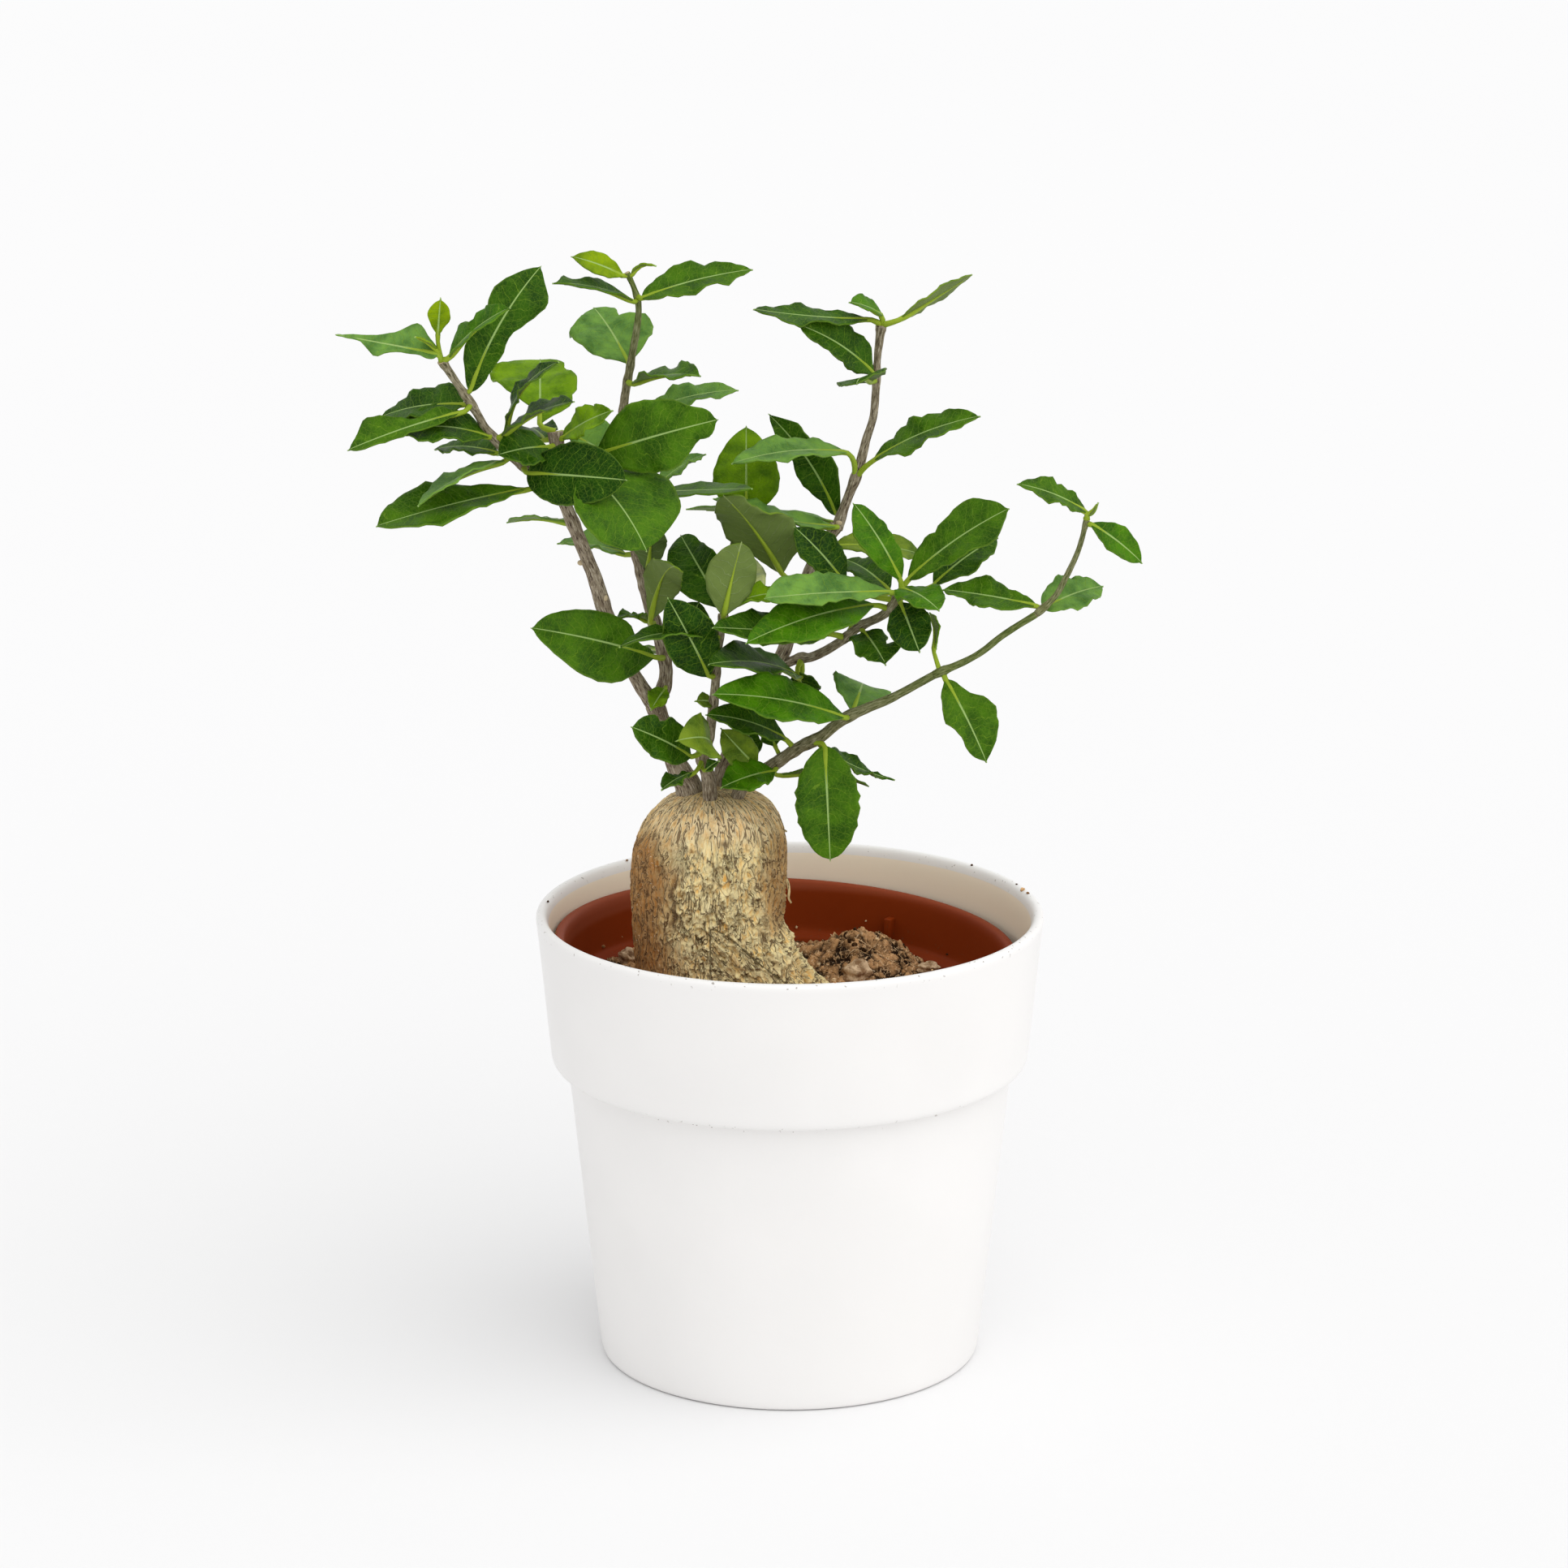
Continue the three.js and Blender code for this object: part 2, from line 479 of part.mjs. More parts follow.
const tallLeaves = [
  // the top, and down to the side branch
  leaf([30, 20, 290], [50, 28, 301], 11, [-0.2, 0.6, 1], { bow: 0, fold: 2, wave: 0.4 }),
  leaf([22, 20, 290], [-10, 10, 294.5], 10, [0, -0.3, 1], {
    wave: 0.6, bow: -0.02, fold: 4, end: 0.5,
    lobes: [[1, 0.72, 3, 0.12], [1, 0.5, -1, 0.1], [-1, 0.55, 1.2, 0.1]],
  }),
  leaf([25, 21, 291], [16, 18, 295], 11, [0, -0.25, 1], { wave: 0.2, base: 0.5, end: 0.5 }),
  leaf([23, 19, 275], [2, 12, 290], 13, [0, -0.8, 0.8], {
    sway: -0.03,
    lobes: [[1, 0.65, -2.6, 0.15], [-1, 0.2, 1.2, 0.12]],
  }),
  leaf([22, 18, 273], [18, -6, 277], 14, [-0.3, 0.28, 1], { fold: 2, wave: 0.5 }),
  leaf([23, 19, 251], [52, 10, 265], 13, [-0.1, -0.5, 1], {
    wave: 1.1, foot: [18, 22, 245],
    lobes: [[-1, 0.36, 1.8, 0.1], [-1, 0.6, 1.2, 0.08], [-1, 0.85, -1.5, 0.15], [1, 0.5, -1.2, 0.06]],
  }),
  leaf([16, 19, 253], [-16, 4, 253], 13, [0, -0.3, 1], { foot: [18, 22, 245] }),
  leaf([13, 24, 234.5], [-6, 34, 261], 10, [-0.4, -1, 0.3], {
    widest: 0.38, bow: 0, sway: -0.06, wave: 0.6,
    lobes: [[-1, 0.82, 1.3, 0.1], [-1, 0.36, 1.5, 0.15], [1, 0.6, -1, 0.08], [1, 0.12, -1.6, 0.16]],
  }),
  leaf([12, 26, 232], [-29, 38, 233], 14, [0, 0.2, 1], { bow: 0.02, wave: 0.5 }),
  leaf([13, 20, 232], [-21, 6, 243], 13, [0, -0.2, 1], { bow: -0.04 }),
  leaf([12, 20, 226.5], [37, 26, 222.5], 14, [0, -0.4, 1]),
  leaf([-2, 10, 221], [-18, -8, 247], 19, [0.1, 0.75, 0.5], {
    fold: 14, wave: 1.2, foot: [4, 19, 216],
    lobes: [[1, 0.2, 3.6, 0.16], [1, 0.75, -3.5, 0.2]],
  }),
  // the side branch
  leaf([30, -12, 222], [40, -30, 220], 13, [0.2, -0.6, 1], { fold: 5 }),
  leaf([30, -11, 224], [17, -4, 244], 13, [0.5, -0.8, 0.4], {
    wave: 0.5,
    lobes: [[-1, 0.55, -2.6, 0.35], [1, 0.7, 0.8, 0.2]],
  }),
  leaf([32, -10, 224], [59, -16, 245], 17, [-0.3, -0.7, 0.8], {
    end: 0.45,
    lobes: [[1, 0.44, -2.8, 0.13], [1, 0.75, 1.2, 0.15], [-1, 0.38, -2.2, 0.18], [-1, 0.85, 2.4, 0.12]],
  }),
  leaf([39, -4, 221], [57, 6, 232], 13, [-0.2, -0.6, 0.9]),
  leaf([28, -12, 221], [-7, -24, 222], 13, [0, -0.5, 1], {
    wave: 0.8, bow: 0.02, widest: 0.55, end: 0.4,
    lobes: [[1, 0.5, -1.3, 0.35], [-1, 0.84, 2.2, 0.12], [-1, 0.4, 1.5, 0.12]],
  }),
  leaf([23, -10, 217], [-12, -30, 211], 15, [0, -0.6, 1], { lobes: [[1, 0.55, 2.6, 0.35]] }),
  leaf([11, -2, 207], [-21, -24, 214], 14, [0, -0.6, 1], { bow: 0, fold: 8 }),
  leaf([20, -4, 208], [26, -18, 202], 12, [0, -0.5, 1], {
    wave: 1.6, waves: 1.4,
    lobes: [[1, 0.5, -2.6, 0.1], [1, 0.82, 2.2, 0.12], [-1, 0.3, 1, 0.1]],
  }),
  leaf([30, -12, 218], [35, -24, 207], 12, [0, -1, 0.2], { end: 0.45, fold: 8 }),
  leaf([15, -6, 222], [1, 2, 236], 12, [0.3, -0.8, 0.6], { foot: [29, -9, 218] }),
  leaf([27, -6, 220], [15, 14, 224], 12, [0, -0.3, 1]),
  leaf([17, 6, 208], [6, 26, 209], 13, [0, 0, 1]),
  leaf([2, 8, 194], [5, 16, 184], 10, [0, -1, -0.3]),
  leaf([3, 8, 192], [-22, -29, 205], 15, [0, -0.7, 1], { foot: [3, 11, 197] }),
];

// The long stem that reaches out to the right.

const rightBranches = [
  branch(
    [
      [-16, -3, 157], [-12, -4, 166], [-6, -6, 170], [3, -9, 177],
      [8, -11, 180], [15, -13, 186], [28, -17, 193], [39, -20, 200],
    ],
    [2, 1.8, 1.6, 1.6, 1.5, 1.4, 1.1, 1.1],
    6
  ),
  branch([[39, -20, 200], [50, -23, 206], [58, -26, 213], [66, -29, 219]], [1.1, 0.9, 0.9, 0.9]),
  branch(
    [[66, -29, 219], [71, -29, 224], [74, -30, 230], [77, -30, 237], [79, -30, 245]],
    [0.9, 0.8, 0.8, 0.7, 0.7]
  ),
];

const rightLeaves = [
  leaf([79, -30, 247], [60, -36, 256], 10, [0.1, -0.5, 1]),
  leaf([80, -30, 244], [94, -30, 233], 9, [0.5, -0.8, 0.6], { wave: 0.3 }),
  leaf([79, -30, 246], [82, -31, 250], 2.4, [1, 0, 0], { wave: 0 }),
  leaf([68, -27, 220], [84.5, -18, 224], 13, [-0.1, -0.6, 1], { base: 0.45, wave: 1 }),
  leaf([66, -28, 221], [41, -18, 223], 13, [0, -0.5, 1], {
    bow: 0.02,
    lobes: [[1, 0.75, -2.3, 0.15], [1, 0.5, 1, 0.08], [-1, 0.3, -2, 0.2]],
  }),
  leaf([39, -18, 206], [38, -6, 214], 6, [1, 0.2, 0], { wave: 0.2 }),
  leaf([42, -21, 199], [53, -30, 178], 14, [0.2, -0.9, 0.5], {
    lobes: [[1, 0.6, 1.2, 0.25], [1, 0.22, -1.4, 0.12], [-1, 0.65, -2.4, 0.2], [-1, 0.3, -0.8, 0.07]],
  }),
  leaf([17, -10, 187], [19, 14, 187], 17, [0.4, -0.1, 1], { bow: 0.2, fold: 0, end: 0.4 }),
  leaf([15, -16, 187], [-21, -30, 197], 16, [0, -0.7, 1], { fold: 10, lobes: [[1, 0.56, 1.3, 0.1]] }),
  leaf([-1, -9, 179], [-23, -17, 188], 12, [0, -0.6, 1], { bow: 0.08 }),
  leaf([9.5, -14, 178.5], [11, -24, 148.5], 17.5, [0, -0.95, 0.3], {
    base: 0.6, end: 0.5, fold: 8, wave: 0.5, waves: 4, foot: [5, -10, 178],
  }),
  leaf([11, -8, 175], [29, 0, 165], 9, [0.5, -0.2, 1], { widest: 0.3, end: 1.6, bow: -0.05 }),
  leaf([-3, -2, 167], [22, 8, 161], 8, [0, 0.3, 1]),
  leaf([-4, -9, 170], [-19, -18, 167.5], 12, [0, -0.6, 1]),
  leaf([-4, -5, 176], [-6, 0, 180], 6, [0, -1, 0.4], { wave: 0.2 }),
  leaf([-9, -8, 171], [-19, -8, 182], 9, [-0.6, -0.3, 0.7], { fold: 30 }),
  leaf([-13, 0, 169], [-11, 4, 180], 8, [0.3, -1, 0.2]),
];

// The caudex: a swollen, ridged trunk that narrows to a blunt top, and its foot, a thick root
// that sweeps out to the right and into the soil.

const TRUNK = {
  // height, middle across, middle in depth, radius
  levels: [
    [88, -22, 2, 18], [100, -22, 1, 19.2], [112, -23, 1, 20.2], [124, -23, 2, 21], [136, -22.5, 2, 21.6],
    [146, -22, 2, 21.2], [153, -21, 2, 19], [158, -20.5, 2, 15.5], [161, -20.5, 2, 11], [162, -20.5, 2, 6],
  ],
  sides: 24,
  ridge: 0.5,
};

const FOOT = {
  route: [[-24, 4, 134], [-19, -3, 124], [-12, -3, 113], [-3, 0, 104], [7, 5, 97], [16, 8, 88]],
  radii: [10, 15, 15, 11.5, 8, 5],
  sides: 16,
  rings: 9,
};

// Bark ridges run up the trunk and wander a little.
const ridges = (turn, height) =>
  Math.sin(9 * turn + 0.06 * height) + 0.7 * Math.sin(15 * turn - 0.09 * height + 1.7);

function trunkGeometry(grow = 0) {
  const rings = TRUNK.levels.map(([height, x, y, radius]) =>
    Array.from({ length: TRUNK.sides }, (_, side) => {
      const turn = (side / TRUNK.sides) * 2 * Math.PI;
      const reach = radius + grow + TRUNK.ridge * Math.min(1, radius / 15) * ridges(turn, height);
      return new THREE.Vector3(x + reach * Math.cos(turn), y + reach * Math.sin(turn), height);
    })
  );
  return stack(rings);
}

function caudexSolid(grow = 0) {
  const foot = new THREE.CatmullRomCurve3(FOOT.route.map(point));
  const radii = FOOT.radii.map((radius) => radius + grow);
  return join([solid(trunkGeometry(grow)), solid(taperedTube(foot, radii, FOOT.sides, FOOT.rings))]);
}

// Pots

function coverPotGeometry() {
  const { height, rimRadius, baseRadius, bandBottom, bandRadius, bodyTopRadius, wall, floor } = COVER;
  const inside = (radius) => radius - wall;
  return lathe(
    [
      [0, 0],
      [baseRadius - 1.2, 0],
      [baseRadius, 1.6],
      [bodyTopRadius, bandBottom],
      [bandRadius - 1.4, bandBottom + 0.2],
      [bandRadius - 0.3, bandBottom + 1.4],
      [bandRadius, bandBottom + 4.2],
      [rimRadius - 0.7, height - 6],
      [rimRadius, height - 1.6],
      [rimRadius - 1, height],
      [rimRadius - 2.8, height],
      [rimRadius - 3.7, height - 2.2],
      [inside(bandRadius), bandBottom + 6],
      [inside(bodyTopRadius), bandBottom],
      [inside(baseRadius), floor],
      [0, floor],
    ],
    COVER.sides
  );
}

// The nursery pot stands askew, so the pot and the soil in it share one placing.
const askew = new THREE.Matrix4()
  .makeTranslation(...NURSERY.foot)
  .multiply(new THREE.Matrix4().makeRotationY(NURSERY.tilt));

function nurseryPotGeometry() {
  const { height, rimRadius, baseRadius, ledgeHeight, ledgeRadius, bandRadius, wall, floor } = NURSERY;
  return lathe(
    [
      [0, 0],
      [baseRadius, 0],
      [ledgeRadius, ledgeHeight - 2],
      [bandRadius, ledgeHeight],
      [bandRadius + 1.6, height - 2.4],
      [rimRadius, height - 2.2],
      [rimRadius, height],
      [rimRadius - 2.8, height],
      [bandRadius + 0.1, height - 2.4],
      [bandRadius - wall, ledgeHeight + 1.2],
      [ledgeRadius - wall, ledgeHeight - 0.6],
      [baseRadius - wall, floor],
      [0, floor],
    ],
    NURSERY.sides
  ).applyMatrix4(askew);
}

// The soil's top is uneven, with a fibrous lump at the back right. Its height depends on place.
function soilTop(x, y) {
  const away = Math.hypot(x - SOIL.lump[0], y - SOIL.lump[1]) / SOIL.lumpRadius;
  const lump = SOIL.lumpHeight * Math.exp(-Math.pow(away, 3));
  const crumbs = Math.sin(x * 0.42 + 1) * Math.cos(y * 0.37) + 0.6 * Math.sin(x * 0.9 - y * 0.7);
  return SOIL.height + lump - 0.02 * x + (SOIL.swell * crumbs) / 1.6;
}

function soilGeometry() {
  const inner = (height) => {
    const share = height / NURSERY.ledgeHeight;
    const outer = THREE.MathUtils.lerp(NURSERY.baseRadius, NURSERY.ledgeRadius, share);
    return outer - NURSERY.wall - SOIL.slack;
  };
  const { sides } = SOIL;
  const bottom = NURSERY.floor + GAP;
  const brim = inner(SOIL.height);
  const ring = (radius, height) =>
    Array.from({ length: sides }, (_, side) => {
      const turn = (side / sides) * 2 * Math.PI;
      const [x, y] = [radius * Math.cos(turn), radius * Math.sin(turn)];
      return new THREE.Vector3(x, y, height ?? soilTop(x, y));
    });
  const shares = [1, 0.9, 0.78, 0.64, 0.48, 0.32, 0.16];
  const rings = [
    ring(inner(bottom), bottom),
    ring(inner(SOIL.height - 4), SOIL.height - 4),
    ...shares.map((share) => ring((brim - 0.4) * share)),
  ];
  return stack(rings).applyMatrix4(askew);
}

// Chips of bark and stone that lie half sunk in the soil.
const CHIPS = {
  chip_right: { at: [19, 21, 103], size: [4.2, 3, 3.4], turn: 0.5 },
  chip_rim: { at: [39.5, 29.5, 102], size: [3.2, 2.2, 1.6], turn: 0.4 },
  chip_left: { at: [-46, 27, 105.6], size: [2.4, 3.2, 2.6], turn: 0.2 },
};

function chipGeometry({ at, size, turn }, grow = 0) {
  const stone = new THREE.IcosahedronGeometry(1, 1);
  const corner = new THREE.Vector3();
  const places = stone.attributes.position;
  for (let i = 0; i < places.count; i++) {
    corner.fromBufferAttribute(places, i);
    const { x, y, z } = corner;
    corner.multiplyScalar(1 + 0.16 * Math.sin(5 * x + 3 * y) + 0.12 * Math.sin(7 * z + 2 * x));
    places.setXYZ(i, ...size.map((half, axis) => corner.getComponent(axis) * (half + grow)));
  }
  return stone.rotateZ(turn).translate(...at);
}

// Assembly

const plant = new THREE.Group();

function addPiece(name, geometry, color, roughness) {
  const material = new THREE.MeshStandardMaterial({ color, roughness, metalness: 0 });
  const mesh = new THREE.Mesh(geometry, material);
  mesh.name = name;
  plant.add(mesh);
}

const stems = {
  leafy_stem_left: [leftBranches, leftLeaves],
  leafy_stem_centre: [centreBranches, centreLeaves],
  leafy_stem_tall: [tallBranches, tallLeaves],
  leafy_stem_right: [rightBranches, rightLeaves],
};

addPiece("cover_pot", coverPotGeometry(), 0xf4f3f1, 0.35);
addPiece("nursery_pot", nurseryPotGeometry(), 0x7a2a12, 0.45);

// Each stem's foot stands in a socket in the caudex, and the caudex in a hole in the soil.
let caudex = caudexSolid();
for (const [branches] of Object.values(stems)) caudex = caudex.subtract(branchSolid(branches[0], GAP));
addPiece("caudex", geometryOf(caudex), 0xb89c74, 0.9);

let soil = solid(soilGeometry()).subtract(caudexSolid(GAP));
for (const chip of Object.values(CHIPS)) soil = soil.subtract(solid(chipGeometry(chip, GAP)));
addPiece("potting_soil", geometryOf(soil), 0x3a2a1f, 1);
for (const [name, chip] of Object.entries(CHIPS)) addPiece(name, chipGeometry(chip), 0xa88f76, 0.95);

for (const [name, [branches, leaves]] of Object.entries(stems)) {
  addPiece(name, geometryOf(leafyStem(branches, leaves)), 0x2f5a16, 0.5);
}

export default plant;
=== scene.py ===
import math

import bpy
from mathutils import Matrix, Vector, noise


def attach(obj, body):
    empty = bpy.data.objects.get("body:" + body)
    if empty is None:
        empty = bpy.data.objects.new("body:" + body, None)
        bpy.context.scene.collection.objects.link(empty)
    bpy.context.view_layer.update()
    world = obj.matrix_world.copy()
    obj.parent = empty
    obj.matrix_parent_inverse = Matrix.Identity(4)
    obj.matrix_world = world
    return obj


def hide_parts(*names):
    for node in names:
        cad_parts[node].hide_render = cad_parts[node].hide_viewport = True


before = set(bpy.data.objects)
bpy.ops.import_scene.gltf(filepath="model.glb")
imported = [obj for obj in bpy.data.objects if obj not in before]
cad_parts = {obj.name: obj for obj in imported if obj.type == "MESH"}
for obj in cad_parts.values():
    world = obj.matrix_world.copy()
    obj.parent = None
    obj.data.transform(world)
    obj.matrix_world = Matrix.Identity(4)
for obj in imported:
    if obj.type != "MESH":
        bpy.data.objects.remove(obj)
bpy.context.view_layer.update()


# The camera stands 1.4 m in front of the pot and looks down on it by 15 degrees through a long
# lens, so the pot's sides hardly converge.
CAMERA_PLACE = (-0.0016, -1.4254, 0.5529)
CAMERA_PITCH = math.radians(74.7365)
bpy.ops.object.camera_add(location=CAMERA_PLACE, rotation=(CAMERA_PITCH, 0, 0))
camera = bpy.context.object
camera.name = "camera"
camera.data.lens = 123.06
camera.data.sensor_width = 36
bpy.context.scene.camera = camera


# The cover pot is moulded in one piece from white plastic with a soft shine. A wide band
# stands out round its top, and the lip is rounded. Its profile is a radius and height a ring, in mm.
MM = 0.001
COVER_PROFILE = [
    (1.5, 0), (40, 0), (51, 0), (52.2, 0.1), (53, 0.6), (53.3, 1.8), (54, 8), (56.5, 32), (59.5, 61),
    (61.5, 80.2), (61.9, 84), (62.2, 85), (63, 85.2), (64.6, 85.25), (65.6, 85.5), (66.3, 86.2), (66.6, 87.5),
    (66.8, 90), (67.4, 96), (68.6, 109), (69.6, 119), (70.2, 124.6), (70.5, 126.2), (70.3, 127.2),
    (69.6, 127.7), (68.7, 127.8), (67.9, 127.4), (67.3, 126.4), (66.6, 124), (65.9, 117), (64.6, 101),
    (63.9, 92.5), (63.2, 90), (60.4, 87), (59.2, 85), (58.5, 80), (55, 47), (51, 8), (50.4, 4), (49.4, 3.1),
    (47, 3), (1.5, 3),
]
BAND_FOOT = 84.8  # height of the corner below the band
LIP_INSIDE = 125.5  # height up to which the inner wall has the warmer white
WHITE = (0.88, 0.866, 0.852)
# The inner wall's warmer white is painted bounce light: the warm light that the soil and the brown pot throw on
# it, laid on as colour.
WHITE_BOUNCE_LIT = (0.97, 0.87, 0.71)
DUST = (0.24, 0.2, 0.16)


def deselect():
    if bpy.context.object and bpy.context.object.mode != "OBJECT":
        bpy.ops.object.mode_set(mode="OBJECT")
    bpy.ops.object.select_all(action="DESELECT")


def pick(piece):
    deselect()
    piece.select_set(True)
    bpy.context.view_layer.objects.active = piece


def settle(piece):
    """Puts a piece's place, turn and size into its mesh."""
    pick(piece)
    bpy.ops.object.transform_apply(location=True, rotation=True, scale=True)


def smooth(piece):
    pick(piece)
    bpy.ops.object.shade_smooth()


def close_ends():
    """Caps what is open on the piece in edit mode, turns its faces outwards and leaves edit mode."""
    bpy.ops.mesh.select_all(action="DESELECT")
    bpy.ops.mesh.select_non_manifold()
    bpy.ops.mesh.edge_face_add()
    bpy.ops.mesh.select_all(action="SELECT")
    bpy.ops.mesh.normals_make_consistent(inside=False)
    bpy.ops.object.mode_set(mode="OBJECT")


def turned(name, sides, profile):
    """A round piece drawn out ring by ring along its profile, closed at both ends. A ring is its
    radius and height and, where it isn't over the origin, the x and y of its middle."""
    (radius, height, x, y), *rings = [(*ring, 0, 0)[:4] for ring in profile]
    start = (x * MM, y * MM, height * MM)
    deselect()
    bpy.ops.mesh.primitive_circle_add(vertices=sides, radius=radius * MM, location=start)
    piece = bpy.context.object
    piece.name = name
    bpy.ops.object.mode_set(mode="EDIT")
    bpy.ops.mesh.select_mode(type="EDGE")
    bpy.ops.mesh.select_all(action="SELECT")
    for wide, high, right, back in rings:
        move = Vector((right - x, back - y, high - height)) * MM
        bpy.ops.mesh.extrude_region_move(TRANSFORM_OT_translate={"value": move})
        middle = Vector((right, back, high)) * MM
        bpy.ops.transform.resize(value=(wide / radius, wide / radius, 1), center_override=middle)
        radius, height, x, y = wide, high, right, back
    bpy.ops.mesh.edge_face_add()
    close_ends()
    settle(piece)
    return piece


def apply_modifier(piece, kind, **settings):
    pick(piece)
    modifier = piece.modifiers.new("finish", kind)
    for key, value in settings.items():
        setattr(modifier, key, value)
    bpy.ops.object.modifier_apply(modifier=modifier.name)


def shade_node(tree, kind, inputs=None, **settings):
    """Adds a shader node; a value in inputs is linked where it is a socket and set where it isn't."""
    made = tree.nodes.new(kind)
    for key, value in settings.items():
        setattr(made, key, value)
    for key, value in (inputs or {}).items():
        if isinstance(value, bpy.types.NodeSocket):
            tree.links.new(value, made.inputs[key])
        else:
            made.inputs[key].default_value = value
    return made


def calc(tree, operation, *values, clamp=False):
    inputs = dict(enumerate(values))
    return shade_node(tree, "ShaderNodeMath", inputs, operation=operation, use_clamp=clamp).outputs[0]


def ramp(tree, value, low, high, start=0.0, end=1.0):
    """A soft step: start below low, end above high."""
    inputs = {"Value": value, "From Min": low, "From Max": high, "To Min": start, "To Max": end}
    return shade_node(tree, "ShaderNodeMapRange", inputs, interpolation_type="SMOOTHSTEP").outputs[0]


def mixed(tree, share, first, second, way="MIX"):
    """Colour: first where share is 0, second where it is 1."""
    first, second = [(*c, 1) if isinstance(c, tuple) and len(c) == 3 else c for c in (first, second)]
    inputs = {0: share, 6: first, 7: second}
    return shade_node(tree, "ShaderNodeMix", inputs, data_type="RGBA", blend_type=way).outputs[2]


def painted(tree, colour, *coats):
    """Coats laid over a colour in turn: each is its mask, its colour and perhaps a way to mix."""
    for mask, coat, *way in coats:
        colour = mixed(tree, mask, colour, coat, *way)
    return colour


def stretched(tree, place, scale):
    return shade_node(tree, "ShaderNodeMapping", {"Vector": place, "Scale": scale}).outputs[0]


def object_place(tree, scale=(1, 1, 1)):
    return stretched(tree, tree.nodes.new("ShaderNodeTexCoord").outputs["Object"], scale)


def object_height(tree, place):
    return shade_node(tree, "ShaderNodeSeparateXYZ", {"Vector": place}).outputs["Z"]


def grain_noise(tree, vector, scale, detail=3.0, rough=0.5, wave=0.0):
    inputs = {"Vector": vector, "Scale": scale, "Detail": detail, "Roughness": rough, "Distortion": wave}
    return shade_node(tree, "ShaderNodeTexNoise", inputs).outputs["Fac"]


def new_material(name, **plain):
    """A material with a Principled shader whose plain values are set on its own sockets."""
    material = bpy.data.materials.new(name)
    material.use_nodes = True
    tree = material.node_tree
    shader = tree.nodes["Principled BSDF"]
    for key, value in plain.items():
        shader.inputs[key.replace("_", " ")].default_value = value
    return material, tree, shader


def raise_bump(tree, shader, height, distance, strength=1.0):
    inputs = {"Height": height, "Distance": distance, "Strength": strength}
    tree.links.new(shade_node(tree, "ShaderNodeBump", inputs).outputs[0], shader.inputs["Normal"])


def white_plastic(name, white):
    material, tree, shader = new_material(name, IOR=1.46, Specular_IOR_Level=0.35)
    place = object_place(tree)
    cloud = grain_noise(tree, place, 22, 2)
    specks = grain_noise(tree, place, 900, 1)
    height = object_height(tree, place)
    # dust gathers on the lip and in the corner below the band
    from_corner = calc(tree, "ABSOLUTE", calc(tree, "SUBTRACT", height, BAND_FOOT * MM))
    corner = ramp(tree, from_corner, 0.4 * MM, 2.2 * MM, 1, 0)
    lip = ramp(tree, height, 124.5 * MM, 127.5 * MM)
    caught = calc(tree, "MAXIMUM", corner, lip)
    dusty = calc(tree, "MULTIPLY", caught, ramp(tree, specks, 0.69, 0.74), clamp=True)
    tint = mixed(tree, ramp(tree, cloud, 0.35, 0.65), white, tuple(c * 0.975 for c in white))
    colour = mixed(tree, calc(tree, "MULTIPLY", dusty, 0.7), tint, DUST)
    tree.links.new(colour, shader.inputs["Base Color"])
    tree.links.new(ramp(tree, cloud, 0.3, 0.7, 0.33, 0.42), shader.inputs["Roughness"])
    raise_bump(tree, shader, grain_noise(tree, place, 1600, 2), 0.00004, 0.35)
    return material


cover_pot = turned("white_cover_pot", 96, COVER_PROFILE)
apply_modifier(cover_pot, "SUBSURF", levels=1, render_levels=1)
smooth(cover_pot)
cover_pot.data.materials.append(white_plastic("white_plastic", WHITE))
cover_pot.data.materials.append(white_plastic("white_plastic_bounce_lit", WHITE_BOUNCE_LIT))
# the inner wall below the lip takes the warmer white, its painted bounce light
for face in cover_pot.data.polygons:
    inward = face.center.x * face.normal.x + face.center.y * face.normal.y < 0
    face.material_index = int(inward and face.center.z < LIP_INSIDE * MM)
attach(cover_pot, "root")
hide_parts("cover_pot")


# The nursery pot stands a little askew inside it: thin, brown-red plastic with a turned-out lip that is
# painted paler as its highlight, a stacking ledge, and a small moulded lug at the back. Crumbs of soil cling to
# its wall.
NURSERY_PROFILE = [
    (1.5, 0), (40, 0), (43.2, 0.1), (44, 0.8), (44.8, 6), (50, 43), (56.6, 90), (57.4, 95), (58, 96.4),
    (60, 97.2), (60.8, 98), (61.2, 101), (62.2, 109), (62.5, 110.5), (63.2, 110.8), (64.1, 110.9),
    (64.4, 111.4), (64.4, 112.5), (64.1, 113), (63.3, 113.2), (62.2, 113.1), (61.6, 112.6), (61, 111),
    (60.8, 109.5), (59.9, 102), (59.5, 99.4), (59, 98.7), (57, 97.9), (56.3, 97.2), (55.8, 95), (52, 68),
    (43.4, 6), (42.6, 2), (41.6, 1.5), (1.5, 1.5),
]
NURSERY_TILT = math.radians(2.5)
NURSERY_FOOT = Vector((-6, 0, 5.4)) * MM
ASKEW = Matrix.Translation(NURSERY_FOOT) @ Matrix.Rotation(NURSERY_TILT, 4, "Y")
LUG_PLACE, LUG_SIZE, LUG_TURN = Vector((30.1, 50.8, 102.9)), Vector((2.2, 3, 6.5)), math.radians(-31)
LUG_EDGE = 0.4


def joined(name, pieces):
    pick(pieces[0])
    for piece in pieces[1:]:
        piece.select_set(True)
    bpy.ops.object.join()
    whole = bpy.context.object
    whole.name = name
    return whole


def faded(tree, mask, share):
    return calc(tree, "MULTIPLY", mask, share)


